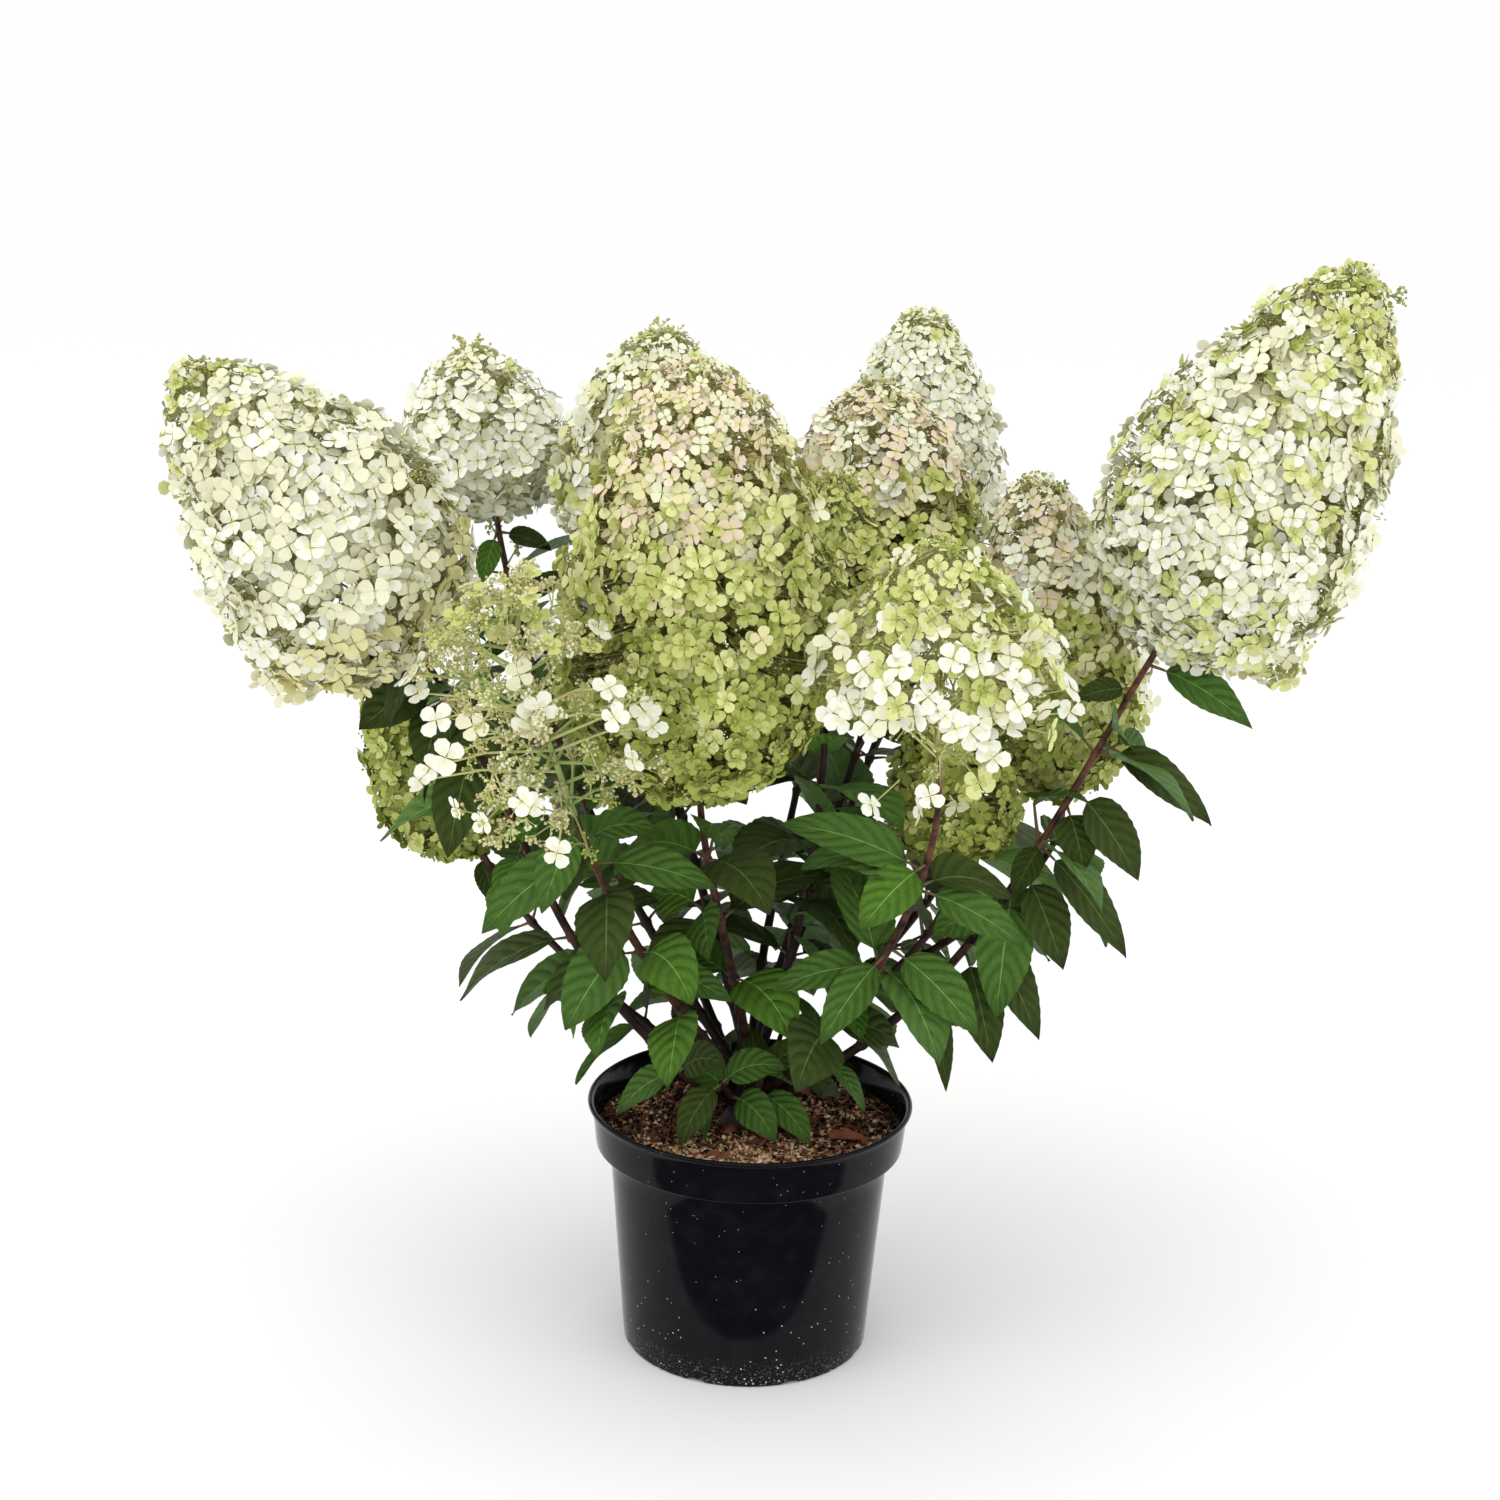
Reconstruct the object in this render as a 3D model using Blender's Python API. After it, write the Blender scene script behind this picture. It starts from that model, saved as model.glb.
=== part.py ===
"""A potted panicle hydrangea in late summer, with its nursery pot and soil.

Metres, +Z up. The origin is the centre of the pot's flat underside, and -Y is the side that faces
the viewer. Every cane rises from a short woody head, carries pairs of leaves and ends in one panicle.
"""

import math
import random
from collections import namedtuple

import bmesh
import bpy
from mathutils import Matrix, Vector
from mathutils.bvhtree import BVHTree

MM = 0.001
GAP = 0.3 * MM  # clearance between pieces that meet
WELD = 0.002 * MM  # points closer than this are one point
SMOOTH_ANGLE = math.radians(35)  # facets of round pieces that meet at less are shaded as one surface
UP = Vector((0.0, 0.0, 1.0))
FORWARD = Vector((1.0, 0.0, 0.0))

# Pot: a thin moulded shell with a collar, a rolled lip and a notched foot ring
POT_HEIGHT = 205 * MM
POT_WALL = 2.2 * MM
LIP_RADIUS = 130 * MM
LIP_DEPTH = 4 * MM
LIP_ROUND = 1 * MM
COLLAR_RADIUS = 126.5 * MM
COLLAR_TAPER = 3.5 * MM
COLLAR_DEPTH = 37 * MM
COLLAR_ROUND = 2.5 * MM
BODY_RADIUS = 112 * MM
BASE_RADIUS = 98.5 * MM
BASE_ROUND = 2 * MM
FOOT_DEPTH = 4 * MM
FOOT_WIDTH = 12 * MM
PAD_RADIUS = 60 * MM
NOTCH_WIDTH = 14 * MM
NOTCH_DEPTH = 3 * MM
NOTCH_COUNT = 8
POT_SIDES = 32

# Soil: fills the pot to a little below the rim, level round the stump and lower at the edge
SOIL_TOP = 187 * MM
SOIL_EDGE_DROP = 4 * MM
SOIL_PAD_RADIUS = 32 * MM
SOIL_SLACK = 0.6 * MM  # room for the facets of the pot's wall
SOIL_BEND_SHARE = 0.7
SOIL_LUMPS = ((1.6 * MM, 5, 1.0), (1.1 * MM, 9, 0.0))  # height, count round the pot, turn
SOIL_SIDES = 32

# Woody head: a stump with a root flare, and a stub where each cane leaves it
HEAD_RADII = (25 * MM, 18.5 * MM, 15.5 * MM, 12.5 * MM, 8 * MM)
HEAD_LEVELS = (0.0, 8 * MM, 24 * MM, 40 * MM, 50 * MM)
HEAD_CAP = 2 * MM
HEAD_SIDES = 10
STUB_LENGTH = 30 * MM
STUB_SWELLING = (1.3, 1.15, 1.0)
STUB_SIDES = 5
LOW, MIDDLE, HIGH = 14 * MM, 26 * MM, 37 * MM  # heights on the head where canes leave it

# Canes
CANE_FOOT_RADIUS = 3.8 * MM
CANE_TIP_RADIUS = 2.4 * MM
CANE_SIDES = 6
CANE_STEPS = 48
CANE_START_PULL = 0.36  # how far a cane keeps its first heading, as a share of its span
CANE_END_PULL = 0.30
BARE_SHARE = 0.24  # of a cane, below its first leaves
BOUGH_RINGS = 6
SHOOT_RINGS = 5
SHOOT_SIDES = 4

# Leaves, in opposite pairs that turn by a right angle from node to node
NODE_SPACING = 60 * MM
NODE_MARGIN = 10 * MM
LEAF_LENGTH = 100 * MM
LEAF_LENGTHS = (0.86, 1.08)
LEAF_WIDTH_SHARE = 0.50
LEAF_THICKNESS_SHARE = 0.016
LEAF_SECTIONS = ((0.16, 0.10), (0.45, 1.0), (0.76, 0.70))  # distance along, half width
LEAF_FOLD = 0.16
LEAF_SPREAD = math.radians(62)
LEAF_DROOP = 0.95
LEAF_DROOPS = (0.7, 1.25)
LEAF_TWIST = 12  # degrees either way
LEAF_TURNS = (0, 22, -22, 44, -44, 66, -66)  # degrees tried in turn round the stem
ROOT_OFFSET = 0.5 * MM
LEAF_SEED = 100

# Short leafy shoots at the foot of the stump
LOW_SHOOT_RADIUS = 2.6 * MM
LOW_SHOOT_TAPER = (1.0, 0.9, 0.7)
LOW_SHOOT_LEVEL = 7 * MM
LOW_SHOOT_LIFT = 0.12
LOW_STUB_LENGTH = 24 * MM
LOW_LEAF_SHARE = 0.74
LOW_NODE_SHARES = (0.42, 0.95)
LOW_SEED = 330

# Panicles: a cone with a round base, whose florets stand out of a dense core
FLORET_AREA = 0.0037
FLORET_REACH = 33 * MM
FLORET_REACHES = (0.86, 1.08)
FLORET_DEPTHS = (0.88, 0.97)  # shares of the panicle's radius
FLORET_LEAST = 12
FULL_FLORET_RADIUS = 66 * MM  # a panicle narrower than this has smaller florets
FOOT_SHARE = 0.6  # where a floret's stalk ends, as a share of the panicle's radius
FOOT_RANGE = (0.12, 0.86)
SKIN_SHARE = 0.65  # a panicle's skin, as a share of the cylinder round it
SKIN_STEPS = 200
TIP_FLORET_SHARE = 0.5
TIP_MARGIN = 4 * MM
TIP_STALK_SHARE = 0.14
CORE_SHARE = 0.76
CORE_SIDES = 7
CORE_RINGS = 5
CORE_ENDS = (0.02, 0.96)
CORE_RANGE = (0.06, 0.92)
CORE_TWIST = 2.0
PEDUNCLE_SHARE = 0.3
WIDEST_POWER = 0.62
BLUNTNESS = 0.8
GOLDEN_ANGLE = math.radians(137.508)
PANICLE_SEED = 520

# Airy panicle: a few open florets and many bud clusters on bare branchlets
AIRY_TIERS = 5
AIRY_PER_TIER = 4
AIRY_RANGE = (0.14, 0.86)
AIRY_RISE = 0.07  # how far below its end a branchlet leaves the axis, as a share of the length
AIRY_DEPTHS = (0.72, 0.9)
AIRY_ARCH = 6 * MM
AIRY_TWIG_RADIUS = 1.3 * MM
AIRY_TWIG_TAPER = (1.3, 1.0, 0.8)
AIRY_FLORET_SHARE = 0.45
AIRY_FLORET_SIZE = 0.55
AIRY_FLORET_LIFT = 6 * MM
AIRY_AXIS_SHARE = 0.93
BUD_RADIUS = 6 * MM
BUD_RADII = (0.9, 1.5)
AIRY_SEED = 704

# A shoot: where its cane leaves the head and how steeply, where its panicle's base lies, which way
# the panicle leans, and its size. Turns are in degrees from +X towards +Y, and lean is measured
# from the vertical.
Shoot = namedtuple("Shoot", "name foot_turn foot_level rise turn reach height "
                            "lean_turn lean length radius airy")

SHOOTS = (
    Shoot("far_left", 195, LOW, 30, 193, 0.266, 0.583, 201, 38, 0.274, 0.106, False),
    Shoot("back_left", 146, MIDDLE, 45, 138, 0.300, 0.634, 139, 13, 0.140, 0.074, False),
    Shoot("centre", 250, HIGH, 68, 239, 0.087, 0.487, 260, 13, 0.352, 0.106, False),
    Shoot("behind_centre", 130, HIGH, 66, 135, 0.141, 0.620, 107, 3, 0.185, 0.074, False),
    Shoot("centre_right", 5, HIGH, 72, 16, 0.053, 0.515, 80, 6, 0.190, 0.060, False),
    Shoot("back_right", 68, MIDDLE, 52, 62, 0.272, 0.588, 87, 5, 0.222, 0.068, False),
    Shoot("mid_right", 62, HIGH, 64, 52, 0.152, 0.568, 125, 4, 0.195, 0.080, False),
    Shoot("right", 18, MIDDLE, 44, 16, 0.254, 0.444, 149, 9, 0.258, 0.060, False),
    Shoot("front_right", 310, LOW, 40, 315, 0.185, 0.504, 260, 22, 0.215, 0.100, False),
    Shoot("far_right", 352, LOW, 28, 358, 0.301, 0.586, 7, 29, 0.330, 0.108, False),
    Shoot("low_right", 338, MIDDLE, 46, 0, 0.155, 0.409, 112, 10, 0.126, 0.056, False),
    Shoot("low_left", 167, LOW, 32, 158, 0.243, 0.378, 161, 31, 0.180, 0.060, False),
    Shoot("front_left", 222, MIDDLE, 46, 224, 0.187, 0.478, 245, 31, 0.213, 0.098, True),
    Shoot("rear_left", 118, LOW, 32, 120, 0.242, 0.400, 124, 55, 0.175, 0.066, False),
    Shoot("rear", 90, LOW, 34, 80, 0.275, 0.490, 86, 49, 0.199, 0.075, False),
    Shoot("rear_right", 42, LOW, 32, 41, 0.305, 0.440, 48, 46, 0.187, 0.070, False),
)

LowShoot = namedtuple("LowShoot", "name turn rise length nodes")

LOW_SHOOTS = (
    LowShoot("foot_left", 218, 30, 62 * MM, 2),
    LowShoot("foot_front_left", 246, 34, 46 * MM, 2),
    LowShoot("foot_front", 279, 40, 52 * MM, 2),
    LowShoot("foot_front_right", 333, 36, 60 * MM, 2),
    LowShoot("foot_back_right", 66, 34, 60 * MM, 2),
    LowShoot("foot_back_left", 142, 34, 60 * MM, 2),
)

# Finishes: colour and roughness
BLACK_PLASTIC = ((0.012, 0.012, 0.013), 0.3)
PEAT_SOIL = ((0.075, 0.045, 0.03), 0.95)
CANE_BARK = ((0.11, 0.045, 0.03), 0.6)
LEAF_GREEN = ((0.045, 0.12, 0.03), 0.55)
CREAM_PETALS = ((0.72, 0.74, 0.52), 0.65)


# Scene and solids

def clear_scene():
    for obj in list(bpy.data.objects):
        bpy.data.objects.remove(obj, do_unlink=True)


def make_material(name, finish):
    colour, roughness = finish
    material = bpy.data.materials.new(name)
    material.use_nodes = True
    shader = material.node_tree.nodes["Principled BSDF"]
    shader.inputs["Base Color"].default_value = (*colour, 1.0)
    shader.inputs["Roughness"].default_value = roughness
    shader.inputs["Metallic"].default_value = 0.0
    material.diffuse_color = (*colour, 1.0)
    return material


def outward(solid):
    """The same closed solid with its faces turned outward."""
    points, faces = solid
    volume = 0.0
    for face in faces:
        first = points[face[0]]
        for second, third in zip(face[1:], face[2:]):
            volume += first.dot(points[second].cross(points[third]))
    if volume < 0.0:
        faces = [tuple(reversed(face)) for face in faces]
    return points, faces


def add_object(name, solid):
    """Adds one named object from a solid, which is a list of points and a list of faces."""
    points, faces = outward(solid)
    mesh = bpy.data.meshes.new(name)
    mesh.from_pydata([tuple(p) for p in points], [], faces)
    mesh.update()
    obj = bpy.data.objects.new(name, mesh)
    bpy.context.scene.collection.objects.link(obj)
    return obj


def combine(obj, pieces, operation):
    """Joins the pieces to an object, or cuts them out of it, and removes them."""
    group = bpy.data.collections.new(obj.name + "_pieces")
    bpy.context.scene.collection.children.link(group)
    for solid in pieces:
        piece = add_object(obj.name + "_piece", solid)
        bpy.context.scene.collection.objects.unlink(piece)
        group.objects.link(piece)
    boolean = obj.modifiers.new("Combine", "BOOLEAN")
    boolean.operation = operation
    boolean.operand_type = "COLLECTION"
    boolean.collection = group
    boolean.solver = "EXACT"
    graph = bpy.context.evaluated_depsgraph_get()
    combined = bpy.data.meshes.new_from_object(obj.evaluated_get(graph))
    obj.modifiers.clear()
    obj.data = combined
    for piece in list(group.objects):
        bpy.data.objects.remove(piece, do_unlink=True)
    bpy.data.collections.remove(group)


def shell_volume(shell):
    total = 0.0
    for face in shell:
        first, second, third = (vertex.co for vertex in face.verts)
        total += first.dot(second.cross(third)) / 6.0
    return abs(total)


def separate_shells(bm):
    """The mesh's faces in groups that hang together by their edges."""
    shells, seen = [], set()
    for face in bm.faces:
        if face in seen:
            continue
        seen.add(face)
        shell, queue = [], [face]
        while queue:
            current = queue.pop()
            shell.append(current)
            for edge in current.edges:
                for other in edge.link_faces:
                    if other not in seen:
                        seen.add(other)
                        queue.append(other)
        shells.append(shell)
    return shells


def finish_mesh(obj, material):
    """Welds and triangulates a mesh. Only its outer shell stays, so hollows are filled and scraps go."""
    bm = bmesh.new()
    bm.from_mesh(obj.data)
    bmesh.ops.remove_doubles(bm, verts=bm.verts[:], dist=WELD)
    bmesh.ops.triangulate(bm, faces=bm.faces[:], quad_method="FIXED", ngon_method="EAR_CLIP")
    shells = sorted(separate_shells(bm), key=shell_volume, reverse=True)
    spare = [face for shell in shells[1:] for face in shell]
    bmesh.ops.delete(bm, geom=spare, context="FACES")
    bmesh.ops.recalc_face_normals(bm, faces=bm.faces[:])
    bm.to_mesh(obj.data)
    bm.free()
    obj.data.materials.clear()
    obj.data.materials.append(material)
    return obj


def shade_round(obj):
    obj.data.shade_smooth()
    obj.data.set_sharp_from_angle(angle=SMOOTH_ANGLE)
    return obj


def fuse(name, solids, material):
    obj = add_object(name, solids[0])
    combine(obj, solids[1:], "UNION")
    return finish_mesh(obj, material)


def direction(turn, rise):
    """The unit vector at a turn from +X and a rise above the horizontal, both in degrees."""
    turn, rise = math.radians(turn), math.radians(rise)
    return Vector((math.cos(turn) * math.cos(rise), math.sin(turn) * math.cos(rise), math.sin(rise)))


def square_to(axis):
    """Two unit vectors that are square to the axis and to each other."""
    side = axis.cross(UP)
    if side.length < WELD:
        side = axis.cross(FORWARD)
    side.normalize()
    return side, side.cross(axis).normalized()


def between(low_high, share):
    return low_high[0] + (low_high[1] - low_high[0]) * share


def turned(profile, sides, lift=None):
    """Turns a profile of (radius, height) round Z. A radius of zero is one point on the axis."""
    points, faces, rows = [], [], []
    for radius, height in profile:
        row = []
        for k in range(sides if radius > 0.0 else 1):
            angle = math.tau * k / sides
            rise = lift(radius, angle) if lift else 0.0
            row.append(len(points))
            points.append(Vector((radius * math.cos(angle), radius * math.sin(angle), height + rise)))
        rows.append(row)
    for low, high in zip(rows, rows[1:]):
        for k in range(sides):
            after = (k + 1) % sides
            if len(low) == 1:
                faces.append((low[0], high[after], high[k]))
            elif len(high) == 1:
                faces.append((low[k], low[after], high[0]))
            else:
                faces.append((low[k], low[after], high[after], high[k]))
    return points, faces


def tube(path, radii, sides, headings=None):
    """A closed tube along a path, cut square to its headings at both ends."""
    points, faces = [], []
    count = len(path)
    if headings is None:
        headings = [(path[min(k + 1, count - 1)] - path[max(k - 1, 0)]).normalized() for k in range(count)]
    side, _ = square_to(headings[0])
    for centre, radius, along in zip(path, radii, headings):
        side = (side - along * side.dot(along)).normalized()
        other = along.cross(side)
        for j in range(sides):
            angle = math.tau * j / sides
            points.append(centre + (side * math.cos(angle) + other * math.sin(angle)) * radius)
    for k in range(count - 1):
        for j in range(sides):
            low, after = k * sides + j, k * sides + (j + 1) % sides
            faces.append((low, after, after + sides, low + sides))
    faces.append(tuple(reversed(range(sides))))
    faces.append(tuple(range((count - 1) * sides, count * sides)))
    return points, faces


# Room between the pieces

def tree_of(solid):
    points, faces = solid
    return BVHTree.FromPolygons(points, faces)


def touch(solid, other):
    return bool(tree_of(solid).overlap(tree_of(other)))


def is_inside(point, tree):
    """Whether a point is inside a closed surface, where a ray crosses it an odd number of times."""
    ray = direction(57, 56)
    crossings = 0
    place = tree.ray_cast(point, ray)[0]
    while place is not None:
        crossings += 1
        place = tree.ray_cast(place + ray * WELD, ray)[0]
    return crossings % 2 == 1


class Space:
    """What is already built, so that new twigs, leaves and florets keep clear of it."""

    def __init__(self):
        self.trees = []

    def add(self, obj):
        points = [vertex.co.copy() for vertex in obj.data.vertices]
        self.reserve((points, [tuple(face.vertices) for face in obj.data.polygons]), obj.name)

    def reserve(self, solid, owner):
        self.trees.append((tree_of(solid), owner))

    def is_free(self, solid, owner):
        tree = tree_of(solid)
        for other, name in self.trees:
            if name != owner and (tree.overlap(other) or is_inside(solid[0][0], other)):
                return False
        return True


# Pot and soil

def pot_profile():
    """The pot's outline from the middle of its underside, up the outside and down the inside."""
    shoulder = POT_HEIGHT - COLLAR_DEPTH
    lip_foot = POT_HEIGHT - LIP_DEPTH
    collar_foot = COLLAR_RADIUS - COLLAR_TAPER
    floor = FOOT_DEPTH + POT_WALL
    return [
        (0.0, 0.0),
        (PAD_RADIUS - FOOT_DEPTH, 0.0),
        (PAD_RADIUS, FOOT_DEPTH),
        (BASE_RADIUS - FOOT_WIDTH - FOOT_DEPTH, FOOT_DEPTH),
        (BASE_RADIUS - FOOT_WIDTH, 0.0),
        (BASE_RADIUS - BASE_ROUND, 0.0),
        (BASE_RADIUS, BASE_ROUND),
        (BODY_RADIUS, shoulder),
        (collar_foot - COLLAR_ROUND, shoulder),
        (collar_foot, shoulder + COLLAR_ROUND),
        (COLLAR_RADIUS, lip_foot),
        (LIP_RADIUS, lip_foot),
        (LIP_RADIUS, POT_HEIGHT - LIP_ROUND),
        (LIP_RADIUS - LIP_ROUND, POT_HEIGHT),
        (COLLAR_RADIUS - POT_WALL, POT_HEIGHT - LIP_ROUND),
        (collar_foot - POT_WALL, shoulder + COLLAR_ROUND),
        (BODY_RADIUS - POT_WALL, shoulder),
        (BASE_RADIUS - POT_WALL, floor),
        (0.0, floor),
    ]


def notch(number):
    """A block across the foot ring, where water drains away."""
    depth = FOOT_WIDTH + 2 * FOOT_DEPTH
    place = Matrix.Rotation(math.tau * (number + 0.5) / NOTCH_COUNT, 4, "Z")
    middle = BASE_RADIUS - 0.5 * FOOT_WIDTH
    points = []
    for x in (middle - 0.5 * depth, middle + 0.5 * depth):
        for y in (-0.5 * NOTCH_WIDTH, 0.5 * NOTCH_WIDTH):
            for z in (-NOTCH_DEPTH, NOTCH_DEPTH):
                points.append(place @ Vector((x, y, z)))
    return points, [(0, 1, 3, 2), (4, 6, 7, 5), (0, 4, 5, 1), (2, 3, 7, 6), (0, 2, 6, 4), (1, 5, 7, 3)]


def make_pot(material):
    pot = add_object("pot", turned(pot_profile(), POT_SIDES))
    combine(pot, [notch(k) for k in range(NOTCH_COUNT)], "DIFFERENCE")
    return shade_round(finish_mesh(pot, material))


def make_soil(material):
    shoulder = POT_HEIGHT - COLLAR_DEPTH
    floor = FOOT_DEPTH + POT_WALL + GAP
    inset = POT_WALL + GAP + SOIL_SLACK
    collar_foot = COLLAR_RADIUS - COLLAR_TAPER
    edge_height = SOIL_TOP - SOIL_EDGE_DROP
    climb = (edge_height - shoulder) / (POT_HEIGHT - LIP_DEPTH - shoulder)
    edge_radius = collar_foot - inset + COLLAR_TAPER * climb
    bend_radius = SOIL_BEND_SHARE * edge_radius
    profile = [
        (0.0, floor),
        (BASE_RADIUS - inset, floor),
        (BODY_RADIUS - inset, shoulder + SOIL_SLACK + GAP),
        (collar_foot - inset, shoulder + COLLAR_ROUND + SOIL_SLACK + GAP),
        (edge_radius, edge_height),
        (bend_radius, SOIL_TOP - (1.0 - SOIL_BEND_SHARE) * SOIL_EDGE_DROP),
        (SOIL_PAD_RADIUS, SOIL_TOP),
        (0.0, SOIL_TOP),
    ]

    def lumps(radius, angle):
        if radius != bend_radius:
            return 0.0
        return sum(height * math.sin(count * angle + turn) for height, count, turn in SOIL_LUMPS)

    return shade_round(finish_mesh(add_object("soil", turned(profile, SOIL_SIDES, lumps)), material))


# Woody head and canes

def heart_at(level):
    """A point on the stump's axis, above the flat cut where it leaves the soil."""
    return UP * (SOIL_TOP + GAP + level)


def head_stub(level, aim, radius, length):
    """A stub from the head's heart, where a cane or a low shoot leaves it."""
    path = [heart_at(level) + aim * (length * share) for share in (0.0, 0.5, 1.0)]
    return tube(path, [radius * swelling for swelling in STUB_SWELLING], STUB_SIDES)


def make_trunk(material):
    profile = [(0.0, 0.0), *zip(HEAD_RADII, HEAD_LEVELS), (0.0, HEAD_LEVELS[-1] + HEAD_CAP)]
    points, faces = turned(profile, HEAD_SIDES)
    solids = [([heart_at(0.0) + point for point in points], faces)]
    for shoot in SHOOTS:
        aim = direction(shoot.foot_turn, shoot.rise)
        solids.append(head_stub(shoot.foot_level, aim, CANE_FOOT_RADIUS, STUB_LENGTH))
    for low in LOW_SHOOTS:
        aim = direction(low.turn, low.rise)
        solids.append(head_stub(LOW_SHOOT_LEVEL, aim, LOW_SHOOT_RADIUS, LOW_STUB_LENGTH))
    return shade_round(fuse("trunk", solids, material))


def panicle_base(shoot):
    return direction(shoot.turn, 0) * shoot.reach + UP * shoot.height


def panicle_heading(shoot):
    return direction(shoot.lean_turn, 90 - shoot.lean)


def cane_path(shoot):
    """Points along the cane from its stub to the base of its panicle."""
    aim = direction(shoot.foot_turn, shoot.rise)
    start = heart_at(shoot.foot_level) + aim * STUB_LENGTH
    end = panicle_base(shoot)
    span = (end - start).length
    first = start + aim * (CANE_START_PULL * span)
    second = end - panicle_heading(shoot) * (CANE_END_PULL * span)
    path = []
    for k in range(CANE_STEPS + 1):
        t = k / CANE_STEPS
        u = 1.0 - t
        path.append(start * u**3 + first * (3 * u * u * t) + second * (3 * u * t * t) + end * t**3)
    return path


def distances(path):
    total = [0.0]
    for start, end in zip(path, path[1:]):
        total.append(total[-1] + (end - start).length)
    return total


def point_at(path, far):
    """The point and the heading at a distance along a path."""
    total = distances(path)
    k = 0
    while k < len(path) - 2 and far > total[k + 1]:
        k += 1
    step = path[k + 1] - path[k]
    share = (far - total[k]) / (total[k + 1] - total[k])
    return path[k] + step * share, step.normalized()


def cane_length(shoot):
    return distances(cane_path(shoot))[-1]


def cane_stretch(shoot, low, high, rings, sides):
    """A tube along the cane between two distances."""
    path, length = cane_path(shoot), cane_length(shoot)
    places = [low + (high - low) * k / (rings - 1) for k in range(rings)]
    radii = [between((CANE_FOOT_RADIUS, CANE_TIP_RADIUS), far / length) for far in places]
    centres, headings = zip(*(point_at(path, far) for far in places))
    return tube(centres, radii, sides, headings)


def make_bough(shoot, material):
    solid = cane_stretch(shoot, GAP, BARE_SHARE * cane_length(shoot), BOUGH_RINGS, CANE_SIDES)
    return shade_round(finish_mesh(add_object("cane_" + shoot.name, solid), material))


# Leaves

def leaf(root, aim, top, length, droop):
    """A pointed leaf that arches down from its root: a folded blade of diamond sections."""
    half_width = 0.5 * LEAF_WIDTH_SHARE * length
    half_thickness = 0.5 * LEAF_THICKNESS_SHARE * length
    place, heading, normal, done = root, aim.normalized(), top.normalized(), 0.0
    points = [root]
    for share, wide in LEAF_SECTIONS + ((1.0, 0.0),):
        heading = (heading - UP * (droop * (share - done))).normalized()
        normal = (normal - heading * normal.dot(heading)).normalized()
        place = place + heading * (length * (share - done))
        done = share
        if wide == 0.0:
            points.append(place)
            break
        side = heading.cross(normal) * (half_width * wide)
        lift = normal * (LEAF_FOLD * half_width * wide)
        points.append(place + side + lift)
        points.append(place + normal * half_thickness)
        points.append(place - side + lift)
        points.append(place - normal * half_thickness)
    return points, leaf_faces()


def leaf_faces():
    """Faces of a leaf, with each quad split from its blade's edge to the midrib on both sides."""
    faces = [(0, 1 + j, 1 + (j + 1) % 4) for j in range(4)]
    for k in range(len(LEAF_SECTIONS) - 1):
        for j in range(4):
            near, next_near = 1 + 4 * k + j, 1 + 4 * k + (j + 1) % 4
            far, next_far = near + 4, next_near + 4
            if j % 2 == 0:
                faces += [(near, far, next_far), (near, next_far, next_near)]
            else:
                faces += [(near, far, next_near), (next_near, far, next_far)]
    last = 1 + 4 * (len(LEAF_SECTIONS) - 1)
    faces += [(last + j, last + 4, last + (j + 1) % 4) for j in range(4)]
    return faces


def leaf_pairs(path, places, scale, rng, space, owner):
    """Pairs of leaves at the given distances along a stem, each where there is room for it."""
    leaves = []
    first_turn = rng.uniform(0, 90)
    for k, far in enumerate(places):
        root, along = point_at(path, far)
        side, other = square_to(along)
        for half in range(2):
            base_turn = first_turn + 90 * k + 180 * half + rng.uniform(-LEAF_TWIST, LEAF_TWIST)
            length = scale * LEAF_LENGTH * rng.uniform(*LEAF_LENGTHS)
            droop = LEAF_DROOP * rng.uniform(*LEAF_DROOPS)
            for extra in LEAF_TURNS:
                turn = math.radians(base_turn + extra)
                out = side * math.cos(turn) + other * math.sin(turn)
                aim = along * math.cos(LEAF_SPREAD) + out * math.sin(LEAF_SPREAD)
                blade = leaf(root + out * ROOT_OFFSET, aim, along, length, droop)
                clear = not any(touch(blade, other_blade) for other_blade in leaves)
                if clear and space.is_free(blade, owner):
                    leaves.append(blade)
                    break
    return leaves


def leafy_ends(shoot):
    """The distances along a cane between which it carries leaves."""
    length = cane_length(shoot)
    return BARE_SHARE * length + GAP, length - GAP


def shoot_stem(shoot):
    return cane_stretch(shoot, *leafy_ends(shoot), SHOOT_RINGS, SHOOT_SIDES)


def node_places(shoot):
    """Distances along a cane of the nodes that carry its leaves."""
    low, high = leafy_ends(shoot)
    room = high - low - 2 * NODE_MARGIN
    count = max(2, round(room / NODE_SPACING))
    return [low + NODE_MARGIN + room * k / count for k in range(count)]


def make_leaf_mass(shoot, number, space, material):
    """The leafy upper stretch of a cane."""
    rng = random.Random(LEAF_SEED + number)
    name = "leaves_" + shoot.name
    blades = leaf_pairs(cane_path(shoot), node_places(shoot), 1.0, rng, space, name)
    return fuse(name, [shoot_stem(shoot)] + blades, material)


def low_path(low):
    aim = direction(low.turn, low.rise)
    start = heart_at(LOW_SHOOT_LEVEL) + aim * (LOW_STUB_LENGTH + GAP)
    end = start + aim * low.length + UP * (LOW_SHOOT_LIFT * low.length)
    return [start, start + aim * (0.5 * low.length), end]


def low_stem(low):
    return tube(low_path(low), [LOW_SHOOT_RADIUS * taper for taper in LOW_SHOOT_TAPER], SHOOT_SIDES)


def make_low_mass(low, number, space, material):
    """A short leafy shoot at the foot of the stump."""
    rng = random.Random(LOW_SEED + number)
    name = "leaves_" + low.name
    path = low_path(low)
    length = distances(path)[-1]
    places = [length * between(LOW_NODE_SHARES, k / (low.nodes - 1)) for k in range(low.nodes)]
    blades = leaf_pairs(path, places, LOW_LEAF_SHARE, rng, space, name)
    return fuse(name, [low_stem(low)] + blades, material)


# Panicles

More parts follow.
